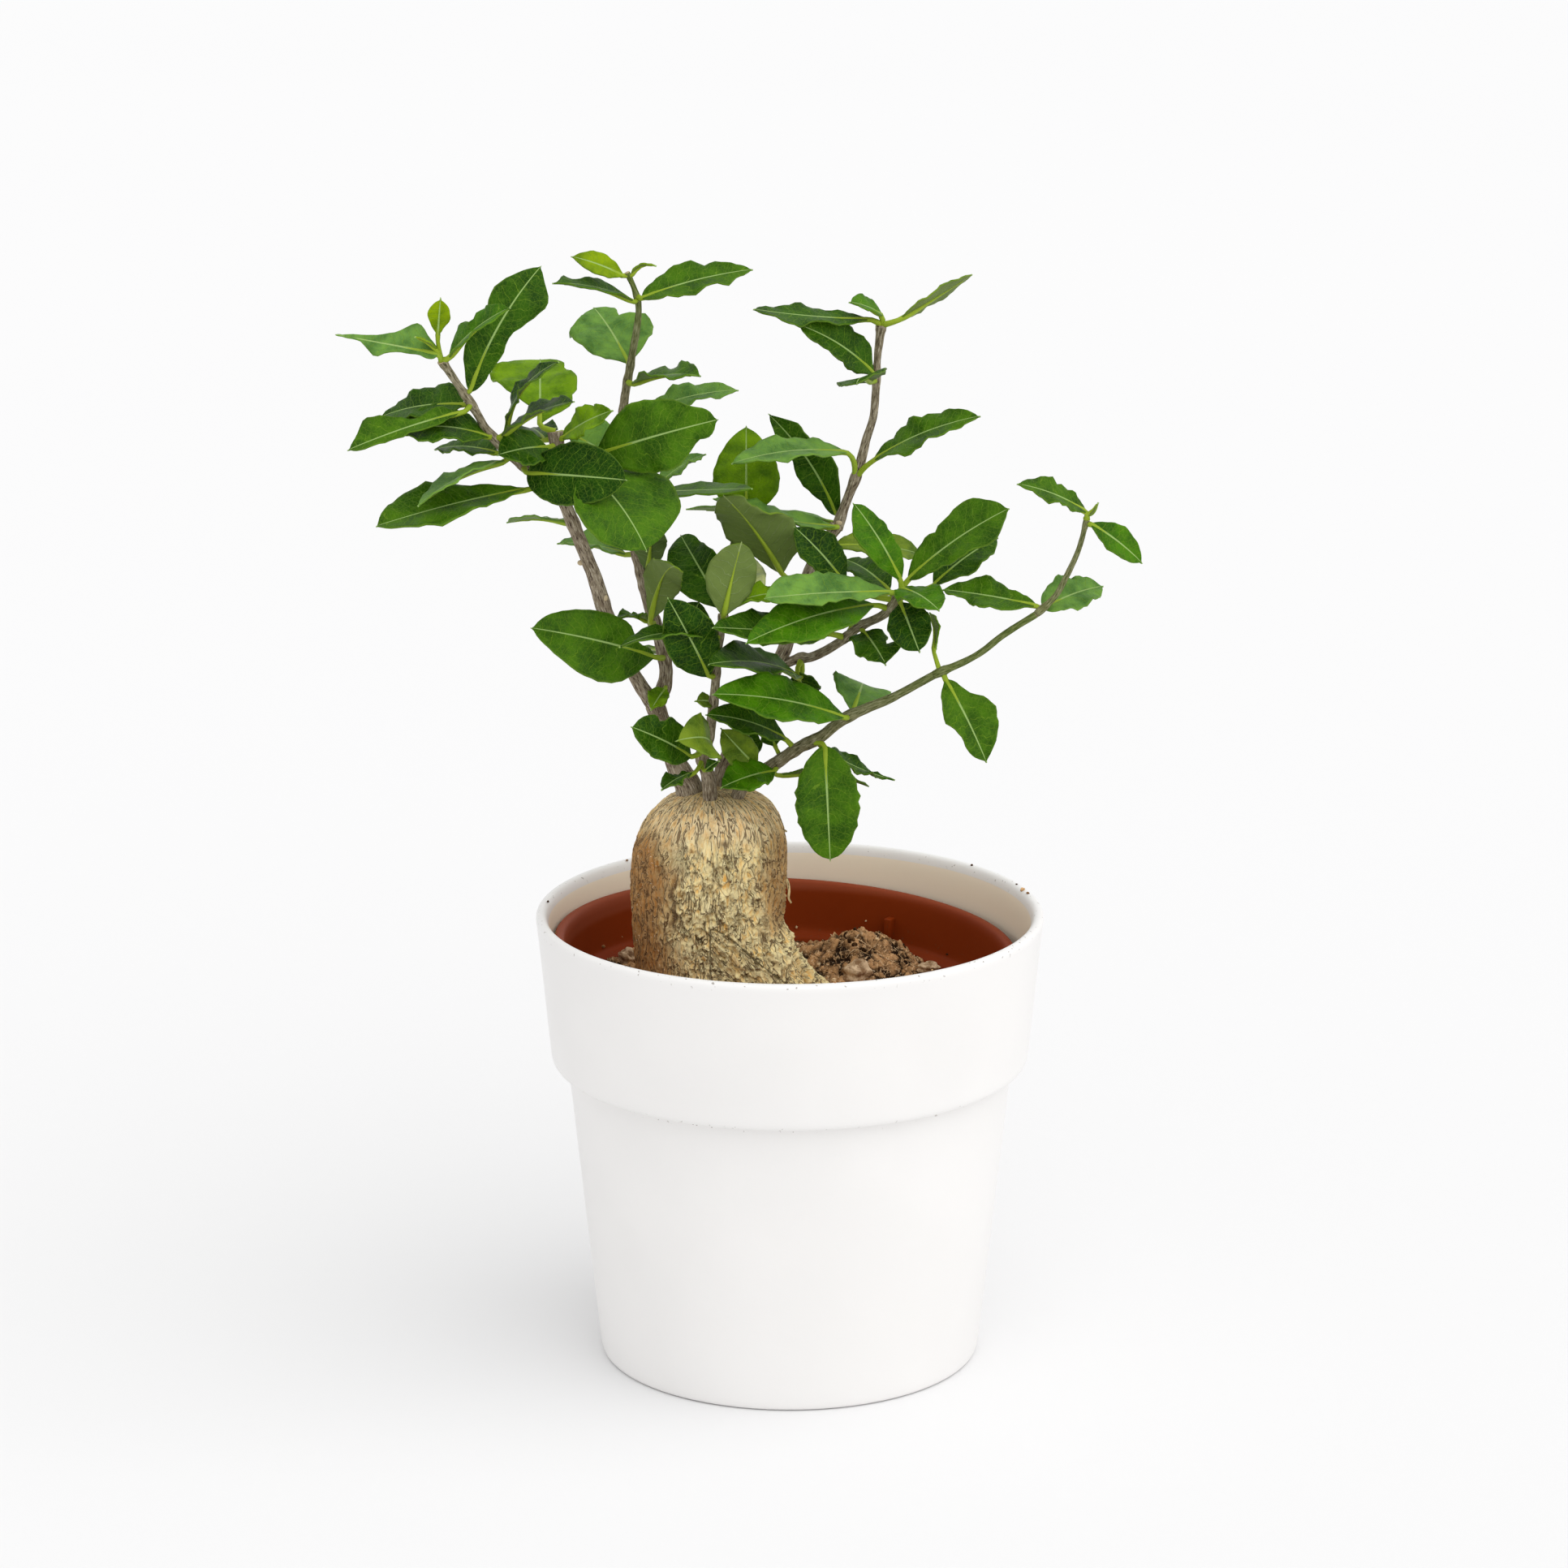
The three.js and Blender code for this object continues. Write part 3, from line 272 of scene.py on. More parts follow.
def brown_plastic():
    material, tree, shader = new_material("brown_plastic", IOR=1.48, Roughness=0.45, Specular_IOR_Level=0.07)
    place = object_place(tree)
    height = object_height(tree, place)
    cloud = grain_noise(tree, place, 40, 4, 0.6)
    dust = grain_noise(tree, place, 520, 3, 0.7)
    wall = mixed(tree, cloud, (0.2, 0.026, 0.003), (0.245, 0.036, 0.005))
    # the lip is painted paler: a painted highlight where its top catches the light
    lip = ramp(tree, height, 114.8 * MM, 116.8 * MM)
    # soil dust clings to the wall, and less to it higher up
    low = ramp(tree, height, 100 * MM, 112 * MM, 1, 0.12)
    dusted = calc(tree, "MULTIPLY", ramp(tree, dust, 0.6, 0.72), low)
    colour = painted(
        tree, wall, (faded(tree, lip, 0.6), (0.3, 0.07, 0.032)), (faded(tree, dusted, 0.6), (0.12, 0.06, 0.035))
    )
    tree.links.new(colour, shader.inputs["Base Color"])
    raise_bump(tree, shader, dust, 0.0001, 0.4)
    return material


nursery_pot = turned("brown_nursery_pot", 80, NURSERY_PROFILE)
apply_modifier(nursery_pot, "SUBSURF", levels=1, render_levels=1)
# the lug, an upright rib moulded on the wall
deselect()
bpy.ops.mesh.primitive_cube_add(size=1, location=LUG_PLACE * MM, scale=LUG_SIZE * MM)
lug = bpy.context.object
lug.rotation_euler = (0, 0, LUG_TURN)
apply_modifier(lug, "BEVEL", width=LUG_EDGE * MM, segments=3)
nursery_pot = joined("brown_nursery_pot", [nursery_pot, lug])
nursery_pot.matrix_world = ASKEW
settle(nursery_pot)
smooth(nursery_pot)
nursery_pot.data.materials.append(brown_plastic())
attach(nursery_pot, "root")
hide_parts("nursery_pot")


# The soil is dark peat, crumbly and loose, with a fibrous lump at the back right that stands
# up round a knot of roots.
SOIL_RADIUS = 55.6
SOIL_HEIGHT = 97
SOIL_LUMP, LUMP_REACH, LUMP_RISE = (23, 38), 14, 8
CLOD_SIZE, CRUMB_SIZE = 3.4, 1.5
SOIL_CELLS = 230
SOIL_SIDE = [(-6, 0.985), (-45, 0.9), (-42, 0.9)]  # each drop, and the share that is left of the radius
SOIL_FOOT = 2.2


def rough(place, size, depth=3):
    """Fractal noise about -1 to 1, its largest features as wide as size."""
    return noise.fractal(Vector(place) / size, 0.9, 2.1, depth)


def smoothstep(low, high, value):
    share = min(1, max(0, (value - low) / (high - low)))
    return share * share * (3 - 2 * share)


def soil_top(x, y):
    """The height of the soil at a place, and how far its crumbs stand up there."""
    away = math.hypot(x - SOIL_LUMP[0], y - SOIL_LUMP[1]) / LUMP_REACH
    lump = LUMP_RISE * math.exp(-(away**3))
    swell = 0.6875 * (math.sin(0.42 * x + 1) * math.cos(0.37 * y) + 0.6 * math.sin(0.9 * x - 0.7 * y))
    wander = Vector((rough((x, y, 3), 6), rough((x, y, 8), 6), 0)) * 1.5
    clods, _ = noise.voronoi((Vector((x, y, 0.3)) + wander) / CLOD_SIZE)
    crumbs, _ = noise.voronoi((Vector((x, y, 4.1)) + wander) / CRUMB_SIZE)
    crumb = 2.2 * max(0, 0.5 - clods[0]) - 0.7 * smoothstep(0.2, 0, clods[1] - clods[0])
    crumb += 0.8 * max(0, 0.5 - crumbs[0]) + 0.8 * rough((x, y, 5), 3.6, 5)
    fibre = 0.6 * abs(noise.noise(Vector((x * 0.9 + y * 0.3, (y - x * 0.4) * 0.22, 2))))
    grit = 0.25 * noise.noise(Vector((x * 1.7, y * 1.7, 9)))
    # a hollow between the root and the lump
    hollow = 2.6 * math.exp(-(((x - 8) / 7) ** 2) - ((y - 22) / 9) ** 2)
    level = SOIL_HEIGHT + lump * (1 + 0.16 * rough((x, y, 1), 4)) - 0.02 * x + swell - hollow
    return level + crumb + fibre + grit - 0.5, crumb


def point_mark(tree, name, output="Color"):
    """What a piece's points keep under a name."""
    return shade_node(tree, "ShaderNodeAttribute", attribute_name=name).outputs[output]


def peat():
    material, tree, shader = new_material("peat", Roughness=0.95, Specular_IOR_Level=0.1)
    place = object_place(tree)
    clods = grain_noise(tree, place, 210, 6, 0.7)
    fibres = grain_noise(tree, object_place(tree, (1, 0.25, 1)), 1500, 3)
    grains = grain_noise(tree, place, 1300, 2, 0.6)
    # raised crumbs are painted lighter and the crevices between the clods darker: painted light and shade
    lit = calc(tree, "MULTIPLY_ADD", clods, 0.55, faded(tree, point_mark(tree, "lift", "Fac"), 0.45))
    colour = painted(
        tree, (0.022, 0.01, 0.004),
        (ramp(tree, lit, 0.32, 0.56), (0.52, 0.29, 0.13)),
        (ramp(tree, fibres, 0.55, 0.68, 0, 0.8), (0.74, 0.48, 0.26)),
        (ramp(tree, grains, 0.64, 0.7, 0, 0.8), (0.72, 0.55, 0.36)),
        (ramp(tree, grains, 0.4, 0.32, 0, 0.85), (0.02, 0.009, 0.004)),
    )
    tree.links.new(colour, shader.inputs["Base Color"])
    raise_bump(tree, shader, calc(tree, "ADD", clods, calc(tree, "MULTIPLY", fibres, 0.5)), 0.0009, 1.0)
    return material


deselect()
bpy.ops.mesh.primitive_grid_add(x_subdivisions=SOIL_CELLS, y_subdivisions=SOIL_CELLS, size=2)
soil = bpy.context.object
soil.name = "peat_soil"
lifts = []
for vertex in soil.data.vertices:
    # the square grid is drawn in to a disc
    across, back = vertex.co.x, vertex.co.y
    x = SOIL_RADIUS * across * math.sqrt(1 - back * back / 2)
    y = SOIL_RADIUS * back * math.sqrt(1 - across * across / 2)
    height, crumb = soil_top(x, y)
    # each point keeps how far its crumb stands up, which the peat turns into painted light and shade
    lifts.append(min(1, max(0, 0.35 + 0.42 * crumb)))
    vertex.co = Vector((x, y, height)) * MM
soil.data.attributes.new("lift", "FLOAT", "POINT").data.foreach_set("value", lifts)
pick(soil)
bpy.ops.object.mode_set(mode="EDIT")
bpy.ops.mesh.select_all(action="DESELECT")
bpy.ops.mesh.select_mode(type="EDGE")
bpy.ops.mesh.select_non_manifold()
for drop, share in SOIL_SIDE:
    bpy.ops.mesh.extrude_region_move(TRANSFORM_OT_translate={"value": (0, 0, drop * MM)})
    bpy.ops.transform.resize(value=(share, share, 1), center_override=(0, 0, 0))
bpy.ops.transform.resize(value=(1, 1, 0), center_override=(0, 0, SOIL_FOOT * MM))
close_ends()
soil.matrix_world = ASKEW
settle(soil)
smooth(soil)
soil.data.materials.append(peat())
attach(soil, "root")
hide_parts("potting_soil")


# Loose crumbs of peat and grit and bits of root lie over the soil. A few have caught on the wall of
# the nursery pot, and on the lips of both pots.
CRUMB_TONES = [
    (0.06, 0.03, 0.012), (0.16, 0.085, 0.035), (0.36, 0.2, 0.09), (0.6, 0.39, 0.2), (0.75, 0.56, 0.34)
]
CRUMB_COUNT = 360
FIBRE_COUNT = 520
CRUMBS_REACH = 53.3  # how far from the middle they lie at most
FULL_TURN = 6.2832
STRAY_CRUMBS = [
    # place in mm, size
    ((50, 35.5, 112.6), 0.6), ((41, 46, 111.6), 0.4), ((55, 20, 104), 0.5), ((-8, 59.5, 112.5), 0.7),
    ((2, 58.8, 105), 0.5), ((22, 55, 108), 0.35), ((45, 37, 103.5), 0.5), ((-48, 38, 108.5), 0.5),
    ((66.8, 16, 127.8), 0.5), ((65.4, 19.6, 127.8), 0.7), ((64, 25, 127.8), 0.4), ((52, 44.5, 127.8), 0.4),
    ((-67.4, 8, 127.8), 0.4), ((-64, -22, 127.8), 0.35), ((-30, -61.6, 127.8), 0.3),
    ((12, -67.6, 127.8), 0.35), ((38, -56.4, 127.8), 0.3), ((-46.5, 49.6, 127.8), 0.4), ((-53, 30, 108), 0.7),
]
FIRST_STRAY = 900  # the strays are numbered from here


def mark_points(piece, name, values):
    """Keeps three numbers for each of a piece's points under a name."""
    layer = piece.data.attributes.new(name, "FLOAT_VECTOR", "POINT")
    layer.data.foreach_set("vector", [number for value in values for number in value])


def own_copy(blank):
    piece = blank.copy()
    piece.data = blank.data.copy()
    bpy.context.scene.collection.objects.link(piece)
    return piece


def crumb_material():
    material, tree, shader = new_material("loose_peat", Roughness=0.95, Specular_IOR_Level=0.08)
    cloud = grain_noise(tree, object_place(tree), 1100, 3, 0.6)
    shade = mixed(tree, ramp(tree, cloud, 0.35, 0.65), (0.45, 0.42, 0.4), (1.35, 1.3, 1.25))
    colour = mixed(tree, 1.0, point_mark(tree, "tone"), shade, "MULTIPLY")
    tree.links.new(colour, shader.inputs["Base Color"])
    raise_bump(tree, shader, cloud, 0.0004, 0.8)
    return material


def toned_copy(blank, tone):
    piece = own_copy(blank)
    mark_points(piece, "tone", [tone] * len(piece.data.vertices))
    return piece


def chance(piece, measure):
    """A number from 0 to 1 that is the same each time for a piece's measure."""
    return noise.cell(Vector((piece * 1.37 + 0.5, measure * 3.1 + 0.5, 7.5))) * 0.5 + 0.5


def loose_crumb(number, place, size):
    piece = toned_copy(crumb_blank, CRUMB_TONES[min(4, int(5 * chance(number, 6) ** 1.8))])
    stretch = [0.6 + 0.6 * chance(number, 1), 0.6 + 0.5 * chance(number, 2), 0.5 + 0.4 * chance(number, 3)]
    turn = Matrix.Rotation(6.3 * chance(number, 4), 3, "Z") @ Matrix.Rotation(1.2 * chance(number, 5), 3, "X")
    for vertex in piece.data.vertices:
        lumpy = 1 + 0.45 * noise.noise(vertex.co * 1.3 + place)
        vertex.co = (place + turn @ (vertex.co * Vector(stretch)) * (size * lumpy)) * MM
    return piece


def loose_fibre(number, x, y):
    """A thin curved bit of root that lies over the crumbs, with both ends in them."""
    piece = toned_copy(fibre_blank, CRUMB_TONES[2 + int(2.99 * chance(number, 16))])
    turn, reach = FULL_TURN * chance(number, 11), 1.2 + 2.6 * chance(number, 12)
    curl, rise = 1.6 * chance(number, 13) - 0.8, 0.3 + 1.1 * chance(number, 14)
    for vertex in piece.data.vertices:
        along, across = vertex.co.z, Vector((vertex.co.x, vertex.co.y))
        angle = turn + curl * along
        middle = Vector((x + reach * along * math.cos(angle), y + reach * along * math.sin(angle), 0))
        ground = soil_top(middle.x, middle.y)[0] * (1 - along**2) + soil_top(x, y)[0] * along**2
        thin = 0.13 * (1 - 0.6 * abs(along))
        aside = Vector((-math.sin(angle), math.cos(angle), 0)) * (across.x * thin)
        lift = Vector((0, 0, ground + rise * (1 - along**2) - 0.3 + across.y * thin))
        vertex.co = (middle + aside + lift) * MM
    return piece


crumb_look = crumb_material()
deselect()
bpy.ops.mesh.primitive_ico_sphere_add(subdivisions=2, radius=1)
crumb_blank = bpy.context.object
crumb_blank.data.materials.append(crumb_look)
deselect()
bpy.ops.mesh.primitive_cylinder_add(vertices=5, radius=1, depth=2)
fibre_blank = bpy.context.object
fibre_blank.data.materials.append(crumb_look)
bpy.ops.object.mode_set(mode="EDIT")
for level in (0.5, 0, -0.5):
    bpy.ops.mesh.select_all(action="SELECT")
    bpy.ops.mesh.bisect(plane_co=(0, 0, level), plane_no=(0, 0, 1))
bpy.ops.object.mode_set(mode="OBJECT")
loose = []
for number in range(CRUMB_COUNT + FIBRE_COUNT):
    # more of them lie at the back right, round the lump
    if number % 5 < 3:
        x, y = -38 + 86 * chance(number, 7), 8 + 42 * chance(number, 8)
    else:
        turn, away = FULL_TURN * chance(number, 7), 53 * math.sqrt(chance(number, 8))
        x, y = away * math.cos(turn), away * math.sin(turn)
    if math.hypot(x, y) > CRUMBS_REACH:
        continue
    if number < CRUMB_COUNT:
        size = 0.3 + 0.8 * chance(number, 9) ** 3
        loose.append(loose_crumb(number, Vector((x, y, soil_top(x, y)[0] + 0.2 * size)), size))
    else:
        loose.append(loose_fibre(number, x, y))
for piece in loose:
    piece.matrix_world = ASKEW
for number, (place, size) in enumerate(STRAY_CRUMBS):
    loose.append(loose_crumb(FIRST_STRAY + number, Vector(place), size))
crumbs = joined("peat_crumbs", loose)
bpy.data.objects.remove(crumb_blank)
bpy.data.objects.remove(fibre_blank)
settle(crumbs)
smooth(crumbs)
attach(crumbs, "root")
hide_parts("potting_soil")


# Bits of pale stone and bark lie half sunk in the soil: one large one before the lump, one at the
# pot's rim and one on the left. A row is the place and half the size in mm, the turn and the name.
CHIPS = {
    "chip_right": ((19, 21, 103), (4.2, 3, 3.4), 0.5, "pale_stone_right"),
    "chip_rim": ((39.5, 29.5, 102), (3.2, 2.2, 1.6), 0.4, "pale_stone_rim"),
    "chip_left": ((-46, 27, 105.6), (2.4, 3.2, 2.6), 0.2, "pale_stone_left"),
}


def stone():
    material, tree, shader = new_material("stone", Roughness=0.92, Specular_IOR_Level=0.1)
    place = object_place(tree)
    cloud = grain_noise(tree, place, 420, 5, 0.65)
    colour = mixed(tree, ramp(tree, cloud, 0.38, 0.62), (0.26, 0.15, 0.075), (0.7, 0.52, 0.33))
    tree.links.new(colour, shader.inputs["Base Color"])
    raise_bump(tree, shader, cloud, 0.0006, 0.8)
    return material


stone_look = stone()
for node, (place, size, turn, name) in CHIPS.items():
    deselect()
    bpy.ops.mesh.primitive_ico_sphere_add(subdivisions=5, radius=1)
    chip = bpy.context.object
    chip.name = name
    for vertex in chip.data.vertices:
        at = vertex.co.copy()
        facets = noise.voronoi(at * 1.1 + Vector(place) * 0.1)[0][0]
        lump = 1 + 0.16 * math.sin(5 * at.x + 3 * at.y) + 0.12 * math.sin(7 * at.z + 2 * at.x)
        lump += 0.16 * (0.5 - facets) + 0.06 * rough(at + Vector(place), 0.4, 4)
        vertex.co = at * lump * 0.97
    chip.scale = Vector(size) * MM
    chip.rotation_euler = (0, 0, turn)
    chip.location = Vector(place) * MM
    settle(chip)
    smooth(chip)
    chip.data.materials.append(stone_look)
    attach(chip, "root")
    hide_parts(node)


# The caudex is the plant's swollen base, with a thick root that sweeps out of it to the right
# and into the soil. Its corky bark is cracked lengthwise, and peels in papery flakes.
TRUNK_LEVELS = [
    # height, x and y of the middle, radius
    (88, -22, 2, 18), (100, -22, 1, 19.2), (112, -23, 1, 20.2), (124, -23, 2, 21), (136, -22.5, 2, 21.6),
    (142, -22.2, 2, 21.5), (146, -22, 2, 21.2), (150, -21.5, 2, 20.2), (153, -21, 2, 19), (156, -20.7, 2, 17),
    (158, -20.5, 2, 15.2), (160, -20.5, 2, 12.4), (161.3, -20.5, 2, 9), (162, -20.5, 2, 5),
    (162.2, -20.5, 2, 2),
]
TRUNK_MIDDLE, TRUNK_RADIUS, SHOULDER = (-22, 2), 21, 140
FOOT_ROUTE = [(-24, 4, 134), (-19, -3, 124), (-12, -3, 113), (-3, 0, 104), (7, 5, 97), (16, 8, 88)]
FOOT_RADII = [10, 15, 15, 11.5, 8, 5]
FOOT_GRAIN = (0.7, 0.15, -1)
BARK_VOXEL = 0.42
BARK_MARKS = ("dark", "rim", "hollow", "ochre", "cap", "flank", "crest")
STRIP_MARKS = (0, 0.5, 0, 0.3, 0, 0.3, 0.6)
STRIP_THICKNESS = 0.16
PEELING_STRIPS = [
    # the route of each, and half its width
    ([(-2.4, -2, 138.5), (-0.9, -2.2, 137), (-0.2, -2.4, 134), (-0.3, -2.4, 131.8), (0.4, -2.4, 130.4)], 0.7),
    ([(-4.6, -1, 149.6), (-2.8, -1.2, 150.6), (-1.5, -1.2, 151), (-0.8, -1.2, 150.6)], 0.7),
    ([(-27, -19.4, 128), (-26.6, -21.2, 126.8), (-26, -21.6, 124.8), (-25.2, -21.2, 123.4)], 0.9),
    ([(-16, -19.6, 121), (-15, -21, 119.6), (-13.6, -21.2, 117.6), (-12, -20.6, 116.4)], 0.9),
]


def smooth_line(route, spacing):
    """Points every spacing mm along a smooth line through the route, and the length up to each."""
    stops = [Vector(p) for p in route]
    stops = [2 * stops[0] - stops[1], *stops, 2 * stops[-1] - stops[-2]]
    fine = []
    for a, b, c, d in zip(stops, stops[1:], stops[2:], stops[3:]):
        u, v, w = [max(1e-3, (q - p).length) ** 0.5 for p, q in ((a, b), (b, c), (c, d))]
        start = ((b - a) / u - (c - a) / (u + v) + (c - b) / v) * v
        end = ((c - b) / v - (d - b) / (v + w) + (d - c) / w) * v
        for step in range(24):
            t = step / 24
            fine.append(
                b * (2 * t**3 - 3 * t**2 + 1) + start * (t**3 - 2 * t**2 + t)
                + c * (3 * t**2 - 2 * t**3) + end * (t**3 - t**2)
            )
    fine.append(stops[-2].copy())
    lengths = [0.0]
    for p, q in zip(fine, fine[1:]):
        lengths.append(lengths[-1] + (q - p).length)
    count = max(2, round(lengths[-1] / spacing))
    points, place = [], 0
    for step in range(count + 1):
        goal = lengths[-1] * step / count
        while place + 2 < len(fine) and lengths[place + 1] < goal:
            place += 1
        share = (goal - lengths[place]) / max(1e-9, lengths[place + 1] - lengths[place])
        points.append(fine[place].lerp(fine[place + 1], min(1, max(0, share))))
    return points, lengths[-1]


def value_along(values, share):
    place = min(1, max(0, share)) * (len(values) - 1)
    low = min(int(place), len(values) - 2)
    return values[low] + (values[low + 1] - values[low]) * (place - low)


def cross_frames(points):
    """Two directions across the line at each of its points, carried along without a twist."""
    ahead = [(b - a).normalized() for a, b in zip(points, points[1:])]
    ahead.append(ahead[-1])
    ahead = [(a + b).normalized() for a, b in zip([ahead[0], *ahead], ahead)]
    side = ahead[0].orthogonal().normalized()
    frames = []
    for way in ahead:
        side = (side - way * side.dot(way)).normalized()
        frames.append((side, way.cross(side)))
    return frames


def rolled(name, points, radius_at, sides, attributes=None):
    """A stem: a flat sheet rolled round the line. radius_at(share, turn) gives its radius in mm."""
    rings = len(points) - 1
    deselect()
    bpy.ops.mesh.primitive_grid_add(x_subdivisions=sides, y_subdivisions=rings, size=2, calc_uvs=False)
    piece = bpy.context.object
    piece.name = name
    frames = cross_frames(points)
    marks = {key: [] for key in attributes or {}}
    for vertex in piece.data.vertices:
        turn = (vertex.co.x + 1) * math.pi
        ring = round((vertex.co.y + 1) / 2 * rings)
        side, other = frames[ring]
        reach = radius_at(ring / rings, turn)
        vertex.co = (points[ring] + side * (reach * math.cos(turn)) + other * (reach * math.sin(turn))) * MM
        for key, give in (attributes or {}).items():
            marks[key].append(give(ring / rings, turn))
    for key, values in marks.items():
        mark_points(piece, key, values)
    bpy.ops.object.mode_set(mode="EDIT")
    bpy.ops.mesh.select_all(action="SELECT")
    bpy.ops.mesh.remove_doubles(threshold=1e-6)
    bpy.ops.mesh.select_mode(type="EDGE")
    close_ends()
    return piece


def bark_place(place, on_foot):
    """Where a place in mm lies on the bark: two measures round the stem, and one along its grain."""
    if on_foot > 0.5:
        grow = Vector(FOOT_GRAIN).normalized()
        over = grow.cross(Vector((0, 1, 0))).normalized()
        return Vector((place.dot(over), place.dot(grow.cross(over)), place.dot(grow)))
    right, back = place.x - TRUNK_MIDDLE[0], place.y - TRUNK_MIDDLE[1]
    turn = math.atan2(back, right)
    turn += 0.05 * noise.noise(Vector((3 * math.cos(turn), 3 * math.sin(turn), place.z / 16)))
    over_top = math.atan2(max(0, place.z - SHOULDER), math.hypot(right, back))
    down = -min(SHOULDER, place.z) - TRUNK_RADIUS * over_top
    return Vector((TRUNK_RADIUS * math.cos(turn), TRUNK_RADIUS * math.sin(turn), down))


def drawn_out(grain, share):
    """The same place with its grain squeezed, so that what is made there comes out long."""
    return Vector((grain.x, grain.y, grain.z * share))


def bark_relief(place, grain, peel, cap):
    """Relief in mm and the bark's marks: dark (cracks, and painted shadow on the low side of a flake's edge),
    raised rims, bare hollows, ochre patches, crests. peel says how much it flakes. On the cap only fine short
    cracks are left."""
    warp = Vector([rough(place + Vector((9 * axis, 4, 7)), 6, 3) for axis in range(3)])
    distances, points = noise.voronoi((drawn_out(grain, 0.5) + warp * 2.4) / 3.2)
    first, second = [noise.cell(Vector(p) * 7.3) * 0.5 + 0.5 for p in points[:2]]
    edge = (distances[1] - distances[0]) * 3.2
    step = (first - second) * peel
    rim = smoothstep(0.05, 0.4, step) * math.exp(-((edge / 0.45) ** 2))
    # the low side beside a raised flake edge is darkened as a painted shadow
    flake_shadow = smoothstep(0.1, 0.45, -step) * math.exp(-((edge / 0.4) ** 2))
    hollow = peel * smoothstep(0.3, 0.16, first) * smoothstep(0.1, 0.8, edge)
    # wavy folds of cork, and short cracks along the grain
    bend = abs(noise.noise((drawn_out(grain, 0.62) + warp * 1.7) / 2.1 + Vector((5, 5, 5))))
    fold = smoothstep(0.16, 0.02, bend) * peel
    spine = abs(noise.noise((drawn_out(grain, 0.5) + warp * 2) / 4.6 + Vector((1, 7, 4))))
    ridge = smoothstep(0.13, 0.01, spine) * peel
    coarse = abs(noise.noise((drawn_out(grain, 0.34) + warp * 1.1) / 1.3))
    fine = abs(noise.noise((drawn_out(grain, 0.3) + warp * 0.7) / 0.85 + Vector((3, 8, 2))))
    broken = smoothstep(-0.1, 0.2, noise.noise(place / 2.1))
    coarse, fine = smoothstep(0.085, 0.02, coarse) * (1 - cap), smoothstep(0.11, 0.03, fine) * (0.4 + 0.6 * cap)
    crack = max(coarse, fine) * broken
    ridges = noise.noise(drawn_out(grain, 0.3) / 0.8 + warp * 0.5)
    relief = 0.8 * (first - 0.5) * peel + 0.5 * rim + 0.45 * fold + 0.9 * ridge - 0.4 * flake_shadow - 0.3 * hollow
    relief += 0.35 * ridges - 0.36 * crack + 0.45 * rough(place, 8, 2)
    ochre = smoothstep(0.02, 0.4, rough(place + Vector((31, 0, 0)), 5, 3))
    ochre = peel * ochre * smoothstep(0.3, 0.6, first)
    crest = 0.5 + 0.7 * ridges + 0.3 * (first - 0.5) * peel
    dark, rim = max(0.3 * crack, 0.7 * flake_shadow), max(rim, 0.8 * fold, ridge)
    return relief, dark, rim, hollow * (1 - ridge), ochre, crest


def mark_bark(piece, marks, grains):
    """Keeps the bark's marks, a number each for every point, and where the point lies on the bark."""
    for name, values in zip(BARK_MARKS, zip(*marks)):
        piece.data.attributes.new(name, "FLOAT", "POINT").data.foreach_set("value", values)
    mark_points(piece, "bark_grain", grains)


